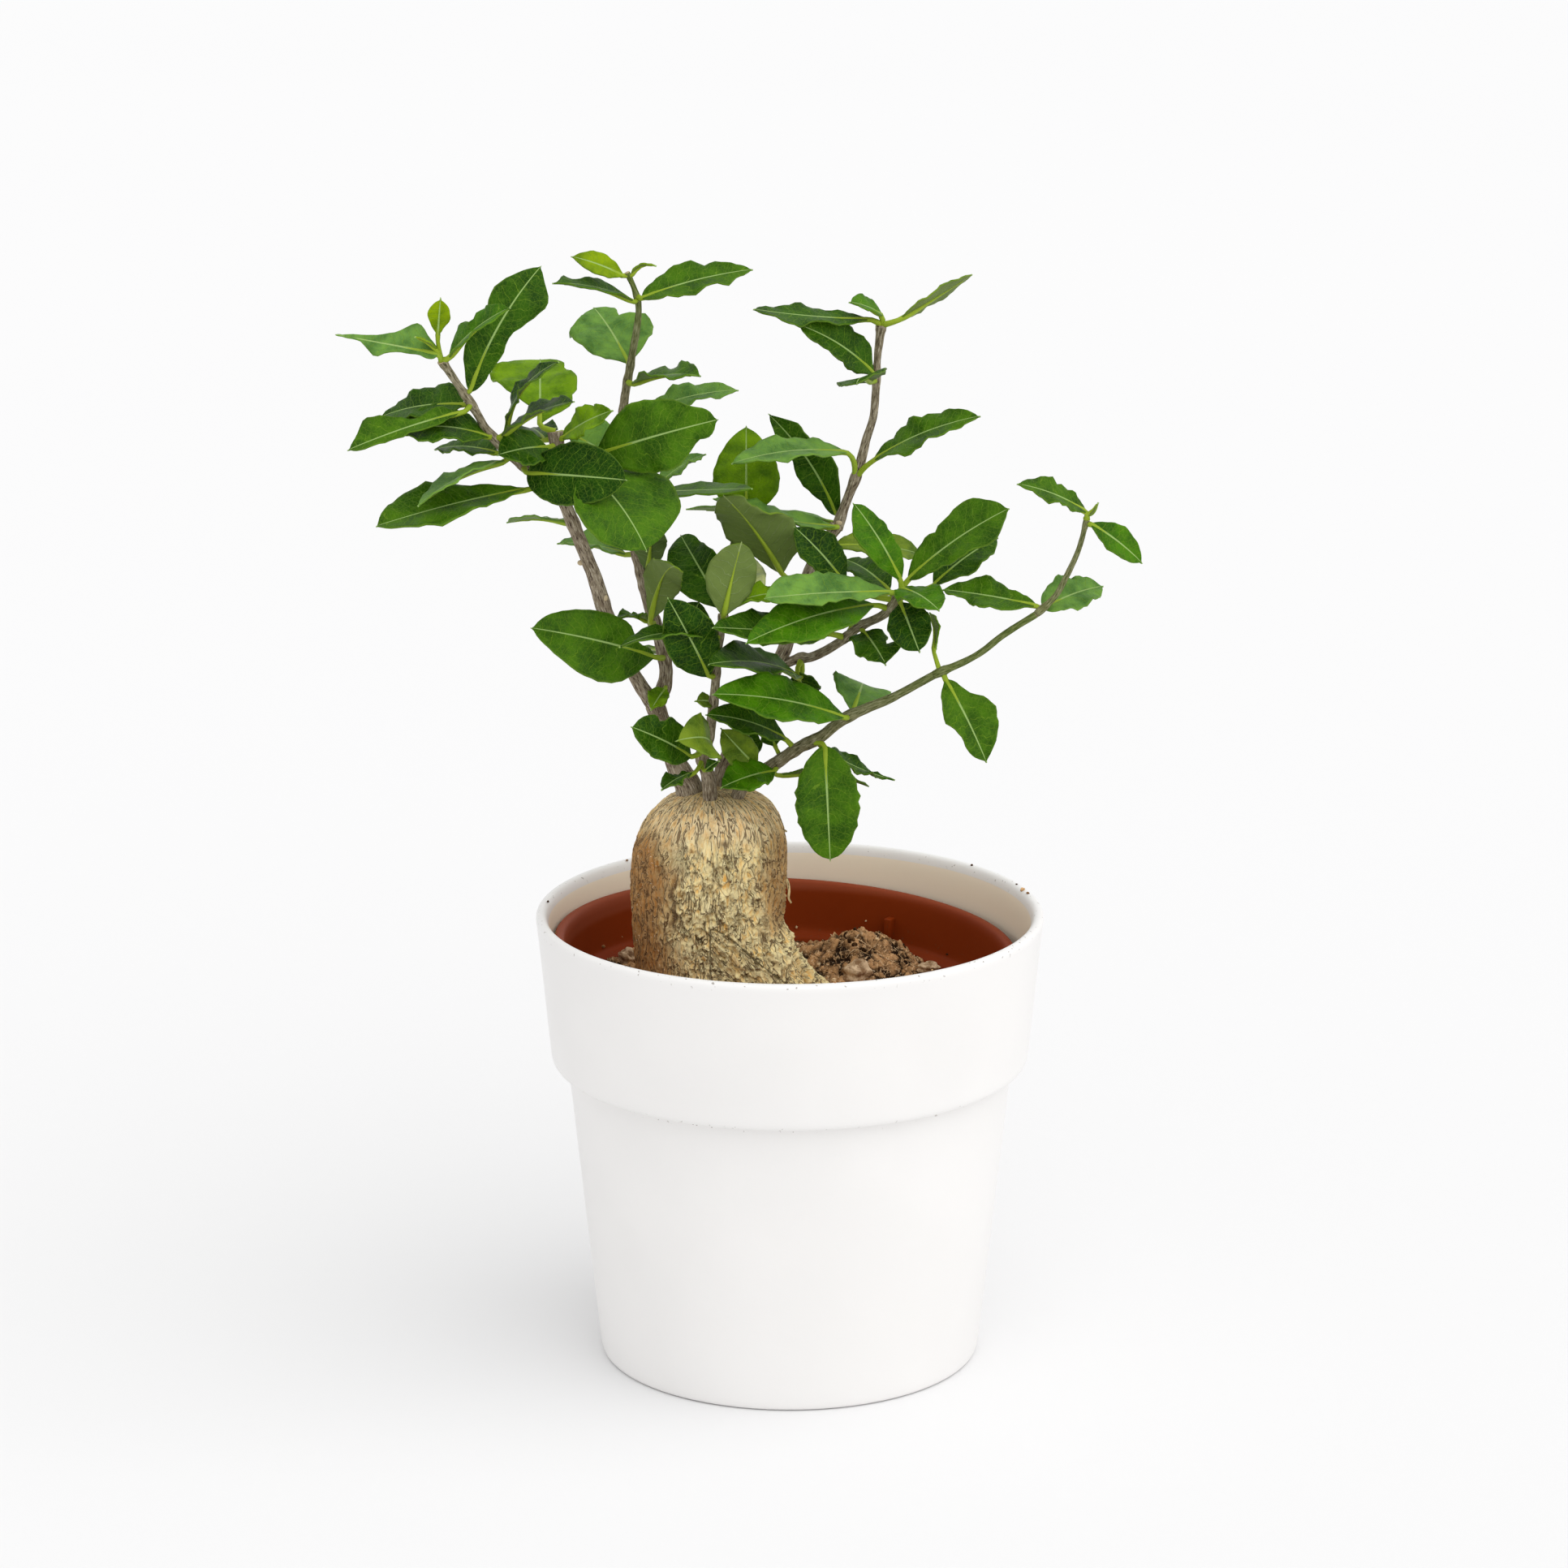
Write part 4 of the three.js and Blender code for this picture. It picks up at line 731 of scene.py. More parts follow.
def bark():
    material, tree, shader = new_material("caudex_bark", Roughness=0.9, Specular_IOR_Level=0.08)
    dark, rim, hollow, ochre, cap, flank, crest = [point_mark(tree, name, "Fac") for name in BARK_MARKS]
    grain = point_mark(tree, "bark_grain", "Vector")
    drawn, waved = stretched(tree, grain, (1, 1, 0.3)), stretched(tree, grain, (1, 1, 0.5))
    furrows = grain_noise(tree, drawn, 1.4, 5, 0.62, 1.0)
    # dark cracks with pale lips, and on the flaking part wider folds with bright crests
    slit = calc(tree, "ABSOLUTE", calc(tree, "SUBTRACT", grain_noise(tree, drawn, 0.52, 3, 0.55, 0.7), 0.5))
    crack, lip = ramp(tree, slit, 0.034, 0.01), ramp(tree, slit, 0.11, 0.04)
    bend = calc(tree, "SUBTRACT", grain_noise(tree, waved, 0.28, 2, 0.5, 1.0), 0.5)
    fold, shade = ramp(tree, calc(tree, "ABSOLUTE", bend), 0.05, 0.02), ramp(tree, bend, 0.03, 0.055)
    shade = calc(tree, "MULTIPLY", shade, ramp(tree, bend, 0.11, 0.07))
    place = object_place(tree)
    cloud = grain_noise(tree, place, 130, 4, 0.6)
    grit = grain_noise(tree, place, 1500, 3, 0.7)
    flaking = calc(tree, "MULTIPLY", calc(tree, "SUBTRACT", 1, cap), calc(tree, "SUBTRACT", 1, flank))
    fold, shade = calc(tree, "MULTIPLY", fold, flaking), calc(tree, "MULTIPLY", shade, flaking)
    # the cracks come and go where it flakes
    closed = calc(tree, "MULTIPLY", flaking, ramp(tree, cloud, 0.5, 0.38, 0, 0.9))
    crack = calc(tree, "MULTIPLY", crack, calc(tree, "SUBTRACT", 1, closed))
    level = calc(tree, "MULTIPLY_ADD", crest, 0.4, faded(tree, furrows, 0.6))
    # the dark mark holds the cracks and also painted shade: the shadow beside raised flake edges and in the pit
    # and the crease
    colour = painted(
        tree, (0.62, 0.38, 0.14),
        (ramp(tree, level, 0.3, 0.45), (0.95, 0.66, 0.26)),
        (ramp(tree, level, 0.45, 0.6), (1.0, 0.82, 0.4)),
        (ramp(tree, cloud, 0.5, 0.7, 0, 0.45), (0.95, 0.68, 0.22)),
        (faded(tree, hollow, 0.75), (0.45, 0.41, 0.25)),
        (faded(tree, shade, 0.9), (0.42, 0.3, 0.14)),
        (faded(tree, ochre, 0.8), (0.92, 0.48, 0.08)),
        (faded(tree, rim, 0.75), (1.0, 0.88, 0.48)),
        (faded(tree, calc(tree, "MAXIMUM", fold, lip), 0.7), (1.0, 0.88, 0.5)),
        (faded(tree, flank, 0.9), (0.34, 0.16, 0.07), "MULTIPLY"),
        (faded(tree, cap, 0.8), (0.95, 0.88, 1.0), "MULTIPLY"),
        (faded(tree, calc(tree, "MAXIMUM", dark, crack), 0.85), (0.13, 0.07, 0.03)),
        (ramp(tree, furrows, 0.38, 0.3, 0, 0.6), (0.2, 0.11, 0.05)),
        (ramp(tree, grit, 0.62, 0.72, 0, 0.5), (1.0, 0.94, 0.74)),
        (ramp(tree, grit, 0.34, 0.27, 0, 0.45), (0.25, 0.15, 0.07)),
    )
    tree.links.new(colour, shader.inputs["Base Color"])
    relief = calc(tree, "MULTIPLY_ADD", furrows, 0.7, faded(tree, crack, -0.6))
    relief = calc(tree, "MULTIPLY_ADD", fold, 0.7, calc(tree, "MULTIPLY_ADD", lip, 0.25, relief))
    raise_bump(tree, shader, calc(tree, "MULTIPLY_ADD", grit, 0.2, relief), 0.00045, 1.0)
    return material


def peeling_strip(number, route, wide):
    """A strip of bark that hangs loose, flat and drawn in to its tip."""
    line, _ = smooth_line(route, 0.5)

    def radius_at(share, turn):
        taper = wide * (1 - 0.6 * share)
        return 1 / math.hypot(math.cos(turn) / taper, math.sin(turn) / STRIP_THICKNESS)

    strip = rolled(f"strip_{number}", line, radius_at, 16)
    grains = [vertex.co / MM for vertex in strip.data.vertices]
    mark_bark(strip, [STRIP_MARKS] * len(grains), grains)
    strip.data.materials.append(caudex_look)
    return strip


trunk = turned("trunk", 48, [(radius, height, x, y) for height, x, y, radius in TRUNK_LEVELS])
apply_modifier(trunk, "SUBSURF", levels=1, render_levels=1)
foot_line, _ = smooth_line(FOOT_ROUTE, 2.5)
foot = rolled("foot", foot_line, lambda share, turn: value_along(FOOT_RADII, share), 40)
caudex = joined("corky_caudex", [trunk, foot])
apply_modifier(caudex, "REMESH", mode="VOXEL", voxel_size=BARK_VOXEL * MM)
apply_modifier(caudex, "SMOOTH", factor=0.5, iterations=12)
moved, marks, grains = [], [], []
for vertex in caudex.data.vertices:
    place = vertex.co / MM
    # how far the place lies on the foot, which runs down to the right
    on_foot = smoothstep(3, -3, place.z - 118 + 0.95 * (place.x + 9)) * smoothstep(-30, -14, place.x)
    on_foot = max(on_foot, smoothstep(-4, 2, place.x) * smoothstep(124, 112, place.z))
    cap = smoothstep(146, 157, place.z + 2 * rough(place, 6, 2))
    stray = 3 * rough(place, 9, 2)
    left = smoothstep(-27, -38, place.x + stray) * (1 - cap)
    right = smoothstep(-11, -4, place.x + stray) * (1 - on_foot) * (1 - cap) * smoothstep(121, 127, place.z)
    front = smoothstep(8, -8, place.y)
    peel = (0.3 + 0.7 * front) * (1 - cap) * (1 - 0.6 * left) * (1 - 0.5 * right)
    peel *= smoothstep(-0.75, 0.1, rough(place + Vector((0, 0, 60)), 14, 2) + 0.35 * on_foot)
    grain = bark_place(place, on_foot)
    relief, dark, rim, hollow, ochre, crest = bark_relief(place, grain, peel, cap)
    relief *= 1 - 0.3 * cap
    # a small pit at the front of the top, and one large bare hollow high on the left
    pit = math.exp(-((place.x + 17.6) ** 2 / 3 + (place.z - 151.5) ** 2 / 0.6)) * smoothstep(-10, -14, place.y)
    bare = math.exp(-(((place.x + 30.5) / 2.6) ** 4) - ((place.z - 147) / 6) ** 4) * front
    # an ochre streak where the foot leaves the trunk, and an upright crease on the left
    streak = on_foot * math.exp(-(((place.z - 122 + 0.9 * (place.x + 9)) / 2.2) ** 2)) * front
    crease = math.exp(-(((place.x + 32 + 2 * rough((0, 4, place.z), 6, 3)) / 0.7) ** 2)) * front
    crease *= smoothstep(124, 129, place.z) * smoothstep(143, 139, place.z)
    moved.append(vertex.co + vertex.normal * ((relief - 1.2 * pit - 0.9 * bare - 0.9 * crease) * MM))
    # the pit and the crease are also darkened into the dark mark: painted shade in their dents
    dark, hollow, ochre = max(dark, pit, crease), max(hollow, bare), min(1, ochre + streak)
    marks.append((dark, rim, hollow, ochre, cap, max(0.9 * left, 0.7 * right), min(1, max(0, crest))))
    grains.append(grain)
for vertex, place in zip(caudex.data.vertices, moved):
    vertex.co = place
mark_bark(caudex, marks, grains)
caudex_look = bark()
caudex.data.materials.append(caudex_look)
# a strip hangs off the right side with a ragged nib above it, and two short ones off the front
strips = [peeling_strip(number, *row) for number, row in enumerate(PEELING_STRIPS)]
caudex = joined("corky_caudex", [caudex, *strips])
smooth(caudex)
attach(caudex, "root")
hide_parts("caudex")


# Four woody stems rise from the top of the caudex. Their grey-brown bark is finely furrowed and
# swells where a leaf stands; cut ends and leaf scars are pale, and young wood is green.
STEMS = {
    # a branch: its route in mm, the radii that it runs through, and how green it is at either end
    "left": [
        ([(-27, 2, 157), (-28, 1, 163), (-31, 0, 169), (-35, -1, 181), (-37, -2, 187)],
         [4.4, 3.6, 2.7, 2.6, 2.7], 0, 0),
        ([(-36, -2, 185), (-42, -4, 195), (-46, -6, 204), (-50, -8, 214), (-53, -10, 225), (-58, -13, 239),
          (-62, -15, 250)], [2.3, 1.9, 1.9, 2.2, 1.9, 1.8, 1.7], 0, 0),
        ([(-62, -15, 249), (-67, -16, 253), (-77, -20, 263), (-81, -22, 268), (-84, -24, 274),
          (-88, -27, 281), (-92, -30, 288)], [1.5, 1.4, 1.5, 1.1, 1.1, 1, 1.1], 0, 0.25),
        ([(-62, -15, 248), (-62, -14, 257), (-63, -13, 265.5)], [1.6, 1.6, 1.9], 0, 0),
        ([(-37, -2, 185), (-34, 0, 194), (-35, 3, 202), (-38, 6, 211), (-41, 10, 223), (-46, 14, 244),
          (-46, 14, 262)], [2.2, 1.8, 1.7, 1.7, 1.5, 1.3, 1.2], 0, 0),
        ([(-46, 14, 260), (-45, 13, 270), (-43, 12, 281), (-41, 10, 295), (-42, 9, 300), (-44, 8, 305)],
         [1.2, 1.2, 1, 1, 0.8, 0.6], 0, 1),
    ],
    "centre": [
        ([(-21.5, -5, 156), (-22.5, -6, 168), (-24, -8, 174), (-22, -11, 181), (-20, -12, 198),
          (-19, -13, 209), (-18, -13, 215)], [2.2, 2, 1.6, 1.4, 1.2, 1, 1.2], 0, 0.2),
        ([(-18, -13, 214), (-17, -3, 217), (-17, 8, 222), (-15, 18, 230), (-12, 20, 237)],
         [0.9, 0.8, 0.8, 0.7], 0.4, 1),
    ],
    "tall": [
        ([(-20, 6, 156), (-18, 7, 168), (-13, 9, 177), (-7, 12, 188), (-2, 15, 197), (2, 18, 209),
          (6, 20, 221), (13, 22, 232)], [2.6, 2.1, 2, 2, 2, 1.7, 1.6, 1.7], 0, 0),
        ([(13, 22, 231), (15, 22, 237), (19, 22, 248), (21, 22, 256), (23, 22, 263), (24, 22, 279),
          (25, 22, 288)], [1.4, 1.3, 1.4, 1.1, 1.1, 1, 1.3], 0, 0.1),
        ([(-2, 15, 194), (3, 11, 197), (6, 8, 198), (13, 3, 203), (19, -2, 209), (26, -7, 214),
          (30, -10, 220)], [1.4, 1.3, 1.3, 1.2, 1.2, 1.2, 1.3], 0, 0.3),
    ],
    "right": [
        ([(-16, -3, 157), (-12, -4, 166), (-6, -6, 170), (3, -9, 177), (8, -11, 180), (15, -13, 186),
          (28, -17, 193), (39, -20, 200)], [2, 1.8, 1.6, 1.6, 1.5, 1.4, 1.1, 1.1], 0, 0.8),
        ([(39, -20, 200), (50, -23, 206), (58, -26, 213), (66, -29, 219)], [1.1, 0.9, 0.9, 0.9], 0.8, 0.9),
        ([(66, -29, 219), (71, -29, 224), (74, -30, 230), (77, -30, 237), (79, -30, 245)],
         [0.9, 0.8, 0.8, 0.7, 0.7], 0.6, 0.6),
    ],
}
SCARS = {
    # where a side shoot was cut: the place and radius of each pale scar
    "left": [((-50.6, -10.2, 219), 1.3), ((-56.6, -11.2, 229), 0.9), ((-36.3, -3.6, 186), 1.1)],
    "tall": [((-8.2, 10.4, 186), 1), ((13.6, 20.6, 233), 0.9)],
}
KNOT_NEAR = 1.5  # a leaf swells the branches that pass this near to its foot


def stem_bark():
    material, tree, shader = new_material("stem_bark", Roughness=0.8, Specular_IOR_Level=0.1)
    grain, green = point_mark(tree, "grain", "Vector"), point_mark(tree, "young", "Fac")
    furrows = grain_noise(tree, stretched(tree, grain, (1, 1, 0.16)), 2.6, 4, 0.65)
    cloud = grain_noise(tree, grain, 0.22, 3)
    wood = painted(
        tree, (0.23, 0.18, 0.12),
        (ramp(tree, cloud, 0.35, 0.65), (0.34, 0.28, 0.2)),
        (ramp(tree, furrows, 0.54, 0.66), (0.56, 0.49, 0.38)),
        (ramp(tree, furrows, 0.48, 0.36), (0.055, 0.035, 0.025)),
    )
    fresh = mixed(tree, ramp(tree, furrows, 0.4, 0.6), (0.085, 0.13, 0.02), (0.16, 0.21, 0.05))
    tree.links.new(mixed(tree, green, wood, fresh), shader.inputs["Base Color"])
    raise_bump(tree, shader, furrows, 0.0005, 0.8)
    return material


def cut_wood():
    material, tree, shader = new_material("cut_wood", Roughness=0.85)
    place = object_place(tree)
    cloud = grain_noise(tree, place, 900, 3)
    colour = mixed(tree, cloud, (0.62, 0.5, 0.32), (0.42, 0.33, 0.2))
    tree.links.new(colour, shader.inputs["Base Color"])
    raise_bump(tree, shader, cloud, 0.0002, 0.5)
    return material


wood_looks = [stem_bark(), cut_wood()]


def woody(name, branch, knots):
    """One branch. knots are the places of its leaf nodes, where it swells."""
    route, radii, green_start, green_end = branch
    points, length = smooth_line(route, 0.7)
    shares = []
    for knot in knots:
        near = min(range(len(points)), key=lambda i: (points[i] - knot).length)
        if (points[near] - knot).length < KNOT_NEAR:
            shares.append(near / (len(points) - 1))

    def radius_at(share, turn):
        base = value_along(radii, share)
        swell = sum(math.exp(-(((share - knot) * length / 1.5) ** 2)) for knot in shares)
        right, back, along = math.cos(turn), math.sin(turn), share * length
        ring = noise.noise(Vector((right, back, along * 0.25)) * 1.6 + points[0])
        furrow = noise.noise(Vector((right * 4, back * 4, along * 0.3)) + points[0])
        return base * (1 + 0.06 * ring + 0.05 * furrow) + 0.22 * min(1.2, swell) * min(1, base)

    def grain_at(share, turn):
        base = value_along(radii, share)
        return (base * math.cos(turn) + 20 * points[0].x, base * math.sin(turn), share * length)

    def green_at(share, turn):
        return (green_start + (green_end - green_start) * share,) * 3

    piece = rolled(name, points, radius_at, 20, {"grain": grain_at, "young": green_at})
    for look in wood_looks:
        piece.data.materials.append(look)
    for face in piece.data.polygons:
        # the cap at its far end shows cut wood
        if len(face.vertices) > 4 and (face.center / MM - points[-1]).length < 1:
            face.material_index = 1
    return piece


def stem_wood(stem_name, knots):
    """A stem's branches and scars in one piece."""
    branches = [woody(f"branch_{n}", branch, knots) for n, branch in enumerate(STEMS[stem_name])]
    for place, size in SCARS.get(stem_name, ()):
        deselect()
        bpy.ops.mesh.primitive_ico_sphere_add(subdivisions=3, radius=1, location=Vector(place) * MM)
        scar = bpy.context.object
        scar.scale = (size * MM, 0.5 * size * MM, 0.85 * size * MM)
        settle(scar)
        scar.data.materials.append(wood_looks[1])
        branches.append(scar)
    wood = joined(f"wood_{stem_name}", branches)
    smooth(wood)
    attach(wood, "root")
    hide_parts(f"leafy_stem_{stem_name}")


# The leaves stand on short green stalks. A blade is leathery, dark and glossy above, paler and
# dull below, with a pale midrib, fine side veins and a wavy edge.
TONES = {
    # the upper side, in the eight-bit values of a screen. pale is a painted sheen: the light that a glossy
    # upper side reflects, laid on as colour
    "dark": (28, 62, 4),
    "deep": (43, 80, 6),
    "green": (58, 97, 9),
    "vivid": (58, 105, 4),
    "pale": (96, 138, 62),
    "lime": (114, 142, 0),
    "young": (98, 136, 8),
    "olive": (100, 124, 34),
    "cream": (200, 210, 160),
}
# A leaf's row is where the blade starts and ends in mm, its breadth, the way its upper side faces,
# its tone, and its habit: widest (where along it), base and end (below 0.7 is full, above 1 is drawn
# in), bow (the midrib arches up), sway (it curves sideways), fold (degrees each half rises), wave
# and waves (of the edge), scallop, foot (where its stalk grows), and lobes, each a side, a place
# along the blade, how many mm the edge stands out there, and over what share of the length.
LEAVES = {
    "left": [
        # the long shoot, from its tip down
        ((-93, -31, 290), (-120, -30, 295), 10, (0, -0.9, 0.8), "pale", dict(
            widest=0.4, base=0.6, end=1.2, fold=10, wave=0.4, bow=0,
            lobes=((-1, 0.25, 2.6, 0.12), (-1, 0.6, -2, 0.2), (1, 0.3, -3.4, 0.3),
                   (1, 0.6, 1.8, 0.08), (1, 0.8, -1.6, 0.12)))),
        ((-93, -30, 294), (-92, -30, 305), 6, (0, -1, 0.1), "lime", dict(wave=0.2, widest=0.62, base=1)),
        ((-93, -31, 291), (-99, -33, 295), 3, (0, 0, 1), "lime", dict(wave=0.1)),
        ((-90, -31, 289), (-73, -40, 304), 11, (-0.7, -0.3, 0.7), "vivid", dict(
            fold=20, wave=0.5, lobes=((1, 0.25, 1.5, 0.12), (1, 0.48, -2.6, 0.1)))),
        ((-85, -26, 279), (-66, -16, 311), 13, (0.3, -1, 0.3), "deep", dict(
            widest=0.55, base=0.5, fold=8, wave=0.6, waves=1.6, sway=0.06,
            lobes=((1, 0.22, 0.8, 0.1), (1, 0.5, -1.8, 0.12), (1, 0.74, 0.8, 0.12),
                   (-1, 0.25, -1, 0.15), (-1, 0.47, -2.3, 0.12), (-1, 0.82, 2.8, 0.14)))),
        ((-86, -27, 274), (-117, -36, 265), 9, (0, -0.7, 1), "green", dict(
            widest=0.6, fold=8, bow=0.03, wave=0.5,
            lobes=((-1, 0.2, 1.5, 0.1), (-1, 0.42, -1.6, 0.12), (-1, 0.78, 3.5, 0.13), (1, 0.65, -2.2, 0.25)))),
        ((-87, -24, 275), (-110, -12, 269), 14, (0, -0.6, 1), "deep", dict(widest=0.3)),
        ((-80, -23, 266), (-106, -27, 268), 15, (0, -0.5, 1), "deep", dict(
            bow=0.1, lobes=((1, 0.75, 1.2, 0.1),))),
        ((-78, -20, 261), (-96, -6, 259), 10, (0, -0.35, 1), "deep", {}),
        ((-76, -20, 259), (-99, -32, 249), 12, (0, 0.15, 1), "pale", dict(wave=0.5)),
        ((-69, -17, 251), (-110, -34, 244), 18, (0, -0.4, 1), "green", dict(bow=0.02, widest=0.64)),
        ((-76, -22, 266), (-61, -26, 287), 9, (-0.9, -0.1, 0.4), "dark", dict(bow=0.14, widest=0.62)),
        ((-77, -22, 266), (-57, -30, 277), 14, (-0.2, -0.1, 1), "dark", {}),
        ((-70, -22, 256), (-43, -36, 257), 18, (0.2, -1, 0.5), "dark", dict(
            base=0.5, end=0.5, fold=10, wave=0.5, bow=0.02)),
        # the cut stub
        ((-65, -17, 262), (-78, -28, 262), 13, (0.1, -0.8, 0.8), "deep", {}),
        ((-66, -12, 263), (-72, 10, 261), 12, (0, 0, 1), "deep", {}),
        ((-67, -12, 267), (-68, 14, 280), 27, (0, -0.5, 1), "young", dict(
            fold=8, wave=1, widest=0.66,
            lobes=((-1, 0.75, -5.5, 0.22), (-1, 0.18, 5, 0.14), (1, 0.2, -3, 0.14)))),
        ((-61, -15, 264), (-47, -22, 273), 10, (-0.1, -0.7, 0.9), "young", {}),
        ((-60, -12, 265), (-45, 0, 253), 15, (0.5, -0.8, 0.5), "pale", {}),
        ((-58, -20, 258), (-38, -38, 238), 29, (0.3, -0.55, 0.85), "green", dict(
            bow=0.12, fold=4, wave=0.7, widest=0.62, end=0.5,
            lobes=((1, 0.6, 3.5, 0.3), (1, 0.9, 2.5, 0.12)))),
        ((-52, -17, 260), (-19, -24, 271), 19, (0, -1, 0.4), "green", dict(
            fold=6, end=0.5, foot=(-62, -14, 257),
            lobes=((-1, 0.62, 1, 0.12), (-1, 0.84, -2.6, 0.1), (1, 0.3, 1.3, 0.2), (1, 0.87, -1.5, 0.1)))),
        ((-59, -12, 240), (-77, -2, 238), 12, (0, 0.27, 1), "pale", dict(fold=4, wave=0.3)),
        # the upright arm, from its tip down
        ((-45, 8, 304), (-59, 4, 310), 7, (0.2, -0.8, 0.7), "lime", dict(wave=0.2)),
        ((-43, 8, 304), (-36, 6, 307), 3, (0, 0.2, 1), "lime", dict(bow=0.2, wave=0.1)),
        ((-42, 8, 297), (-64, 2, 303), 8, (0, -0.1, 1), "deep", dict(
            wave=0.6, waves=1, bow=0.06, lobes=((-1, 0.4, 1.5, 0.1), (-1, 0.88, 4, 0.06)))),
        ((-40, 8, 298), (-10, 12, 305), 13, (0, -0.5, 1), "green", dict(
            base=0.55, wave=0.8, bow=0.04,
            lobes=((1, 0.3, 0.8, 0.1), (1, 0.62, -1, 0.08), (1, 0.88, -1.2, 0.1),
                   (-1, 0.62, -1, 0.08), (-1, 0.76, 1.3, 0.06), (-1, 0.9, -1.5, 0.1)))),
        ((-44, 14, 279), (-54, 32, 291), 24, (0.2, -0.9, 1), "pale", dict(
            fold=5, wave=1.3, lobes=((-1, 0.74, -4.5, 0.14), (1, 0.3, -1.2, 0.12), (1, 0.9, -2, 0.1)))),
        ((-43, 10, 274), (-24, 0, 278), 14, (0, -0.1, 1), "green", dict(fold=15, wave=1.3, waves=1.3)),
        ((-41, 12, 265), (-14, 16, 271), 11, (0, -0.3, 1), "pale", dict(wave=0.9)),
        ((-37, 14, 244), (-23, 22, 252), 9, (-0.5, -0.25, 0.8), "pale", dict(fold=15)),
        ((-41, 9, 244), (-10, -14, 250), 11, (0, -0.2, 1), "green", dict(fold=4, wave=0.3, bow=0)),
        ((-45, 12, 226), (-64, 12, 229), 13, (0, -0.1, 1), "pale", {}),
        ((-39, 8, 222), (-37, -6, 238), 9, (0, 1, 1), "deep", {}),
        ((-40, 9, 218), (-31, 18, 221), 9, (0, -0.4, 1), "green", {}),
        ((-39, 4, 209), (-47, -6, 212), 7, (0, 0, 1), "green", dict(fold=10, bow=0.1)),
        ((-38, -3, 211), (-31, -24, 231), 11, (0.5, 0.8, 0.5), "olive", dict(bow=0.12, sway=-0.08)),
        ((-31, 6, 199), (-25, 16, 212), 12, (0.2, -0.9, 0.5), "deep", {}),
        ((-36, 6, 201), (-41, 26, 193), 12, (0, 0, 1), "pale", {}),
        ((-37, -4, 201), (-70, -20, 213), 20, (0, -1, 0.6), "green", dict(
            fold=12, wave=0.5, lobes=((1, 0.45, 2.2, 0.3), (-1, 0.55, -2.2, 0.3), (-1, 0.14, -3, 0.1)))),
        ((-34, -4, 192), (-38, -9, 187), 6, (-0.3, -1, 0.3), "young", dict(fold=28)),
    ],
    "centre": [
        ((-12, 20, 236), (-12, 25, 259.5), 18.5, (0, -1, 0.2), "young", dict(
            widest=0.38, end=0.6, fold=6, wave=0.5)),
        ((-18, -11, 216), (-30, 14, 231), 17, (-0.3, -1, 0.8), "deep", dict(lobes=((-1, 0.65, -3, 0.3),))),
        ((-18, -15, 215), (-13, -16, 236), 14, (-0.2, 1, 0.1), "olive", dict(end=0.5, wave=0.5, bow=0.04)),
        ((-16, -6, 216), (-13, 20, 225), 16, (0, -0.6, 1), "cream", dict(fold=0, bow=0, wave=0.3)),
        ((-16, -12, 217), (3, -4, 217), 10, (0, -0.2, 1), "young", dict(bow=0.12)),
        ((-21, -16, 209), (-46, -26, 209), 9, (0, -0.1, 1), "deep", dict(bow=0.1, wave=0.5)),
        ((-22, -14, 198), (-33, -22, 222), 15, (0.2, -1, 0.2), "dark", {}),
        ((-21, -11, 190), (-26, -14, 191), 5, (0, -0.8, 0.8), "olive", dict(wave=0.2)),
        ((-22, -17, 178), (-31, -30, 184), 14, (-0.2, -0.9, 0.6), "olive", dict(bow=0.26, wave=0.5)),
        ((-27, -16, 176), (-43, -26, 187), 14, (0.3, -0.9, 0.6), "deep", dict(
            end=0.45, lobes=((1, 0.5, -0.8, 0.3), (-1, 0.66, -2.2, 0.08)))),
        ((-26, -14, 171), (-35, -22, 168), 7, (-0.3, -0.3, 1), "deep", dict(widest=0.65)),
        ((-23, -13, 171), (-19, -13, 174), 5, (0, -0.3, 1), "deep", dict(wave=0.2)),
    ],
    "tall": [
        # the top, and down to the side branch
        ((30, 20, 290), (50, 28, 301), 11, (-0.2, 0.6, 1), "olive", dict(bow=0, fold=2, wave=0.4)),
        ((22, 20, 290), (-10, 10, 294.5), 10, (0, -0.3, 1), "deep", dict(
            wave=0.6, bow=-0.02, fold=4, end=0.5,
            lobes=((1, 0.72, 3, 0.12), (1, 0.5, -1, 0.1), (-1, 0.55, 1.2, 0.1)))),
        ((25, 21, 291), (16, 18, 295), 11, (0, -0.25, 1), "vivid", dict(wave=0.2, base=0.5, end=0.5)),
        ((23, 19, 275), (2, 12, 290), 13, (0, -0.8, 0.8), "deep", dict(
            sway=-0.03, lobes=((1, 0.65, -2.6, 0.15), (-1, 0.2, 1.2, 0.12)))),
        ((22, 18, 273), (18, -6, 277), 14, (-0.3, 0.28, 1), "deep", dict(fold=2, wave=0.5)),
        ((23, 19, 251), (52, 10, 265), 13, (-0.1, -0.5, 1), "green", dict(
            wave=1.1, foot=(18, 22, 245),
            lobes=((-1, 0.36, 1.8, 0.1), (-1, 0.6, 1.2, 0.08), (-1, 0.85, -1.5, 0.15), (1, 0.5, -1.2, 0.06)))),
        ((16, 19, 253), (-16, 4, 253), 13, (0, -0.3, 1), "pale", dict(foot=(18, 22, 245))),
        ((13, 24, 234.5), (-6, 34, 261), 10, (-0.4, -1, 0.3), "deep", dict(
            widest=0.38, bow=0, sway=-0.06, wave=0.6,
            lobes=((-1, 0.82, 1.3, 0.1), (-1, 0.36, 1.5, 0.15), (1, 0.6, -1, 0.08), (1, 0.12, -1.6, 0.16)))),
        ((12, 26, 232), (-29, 38, 233), 14, (0, 0.2, 1), "pale", dict(bow=0.02, wave=0.5)),
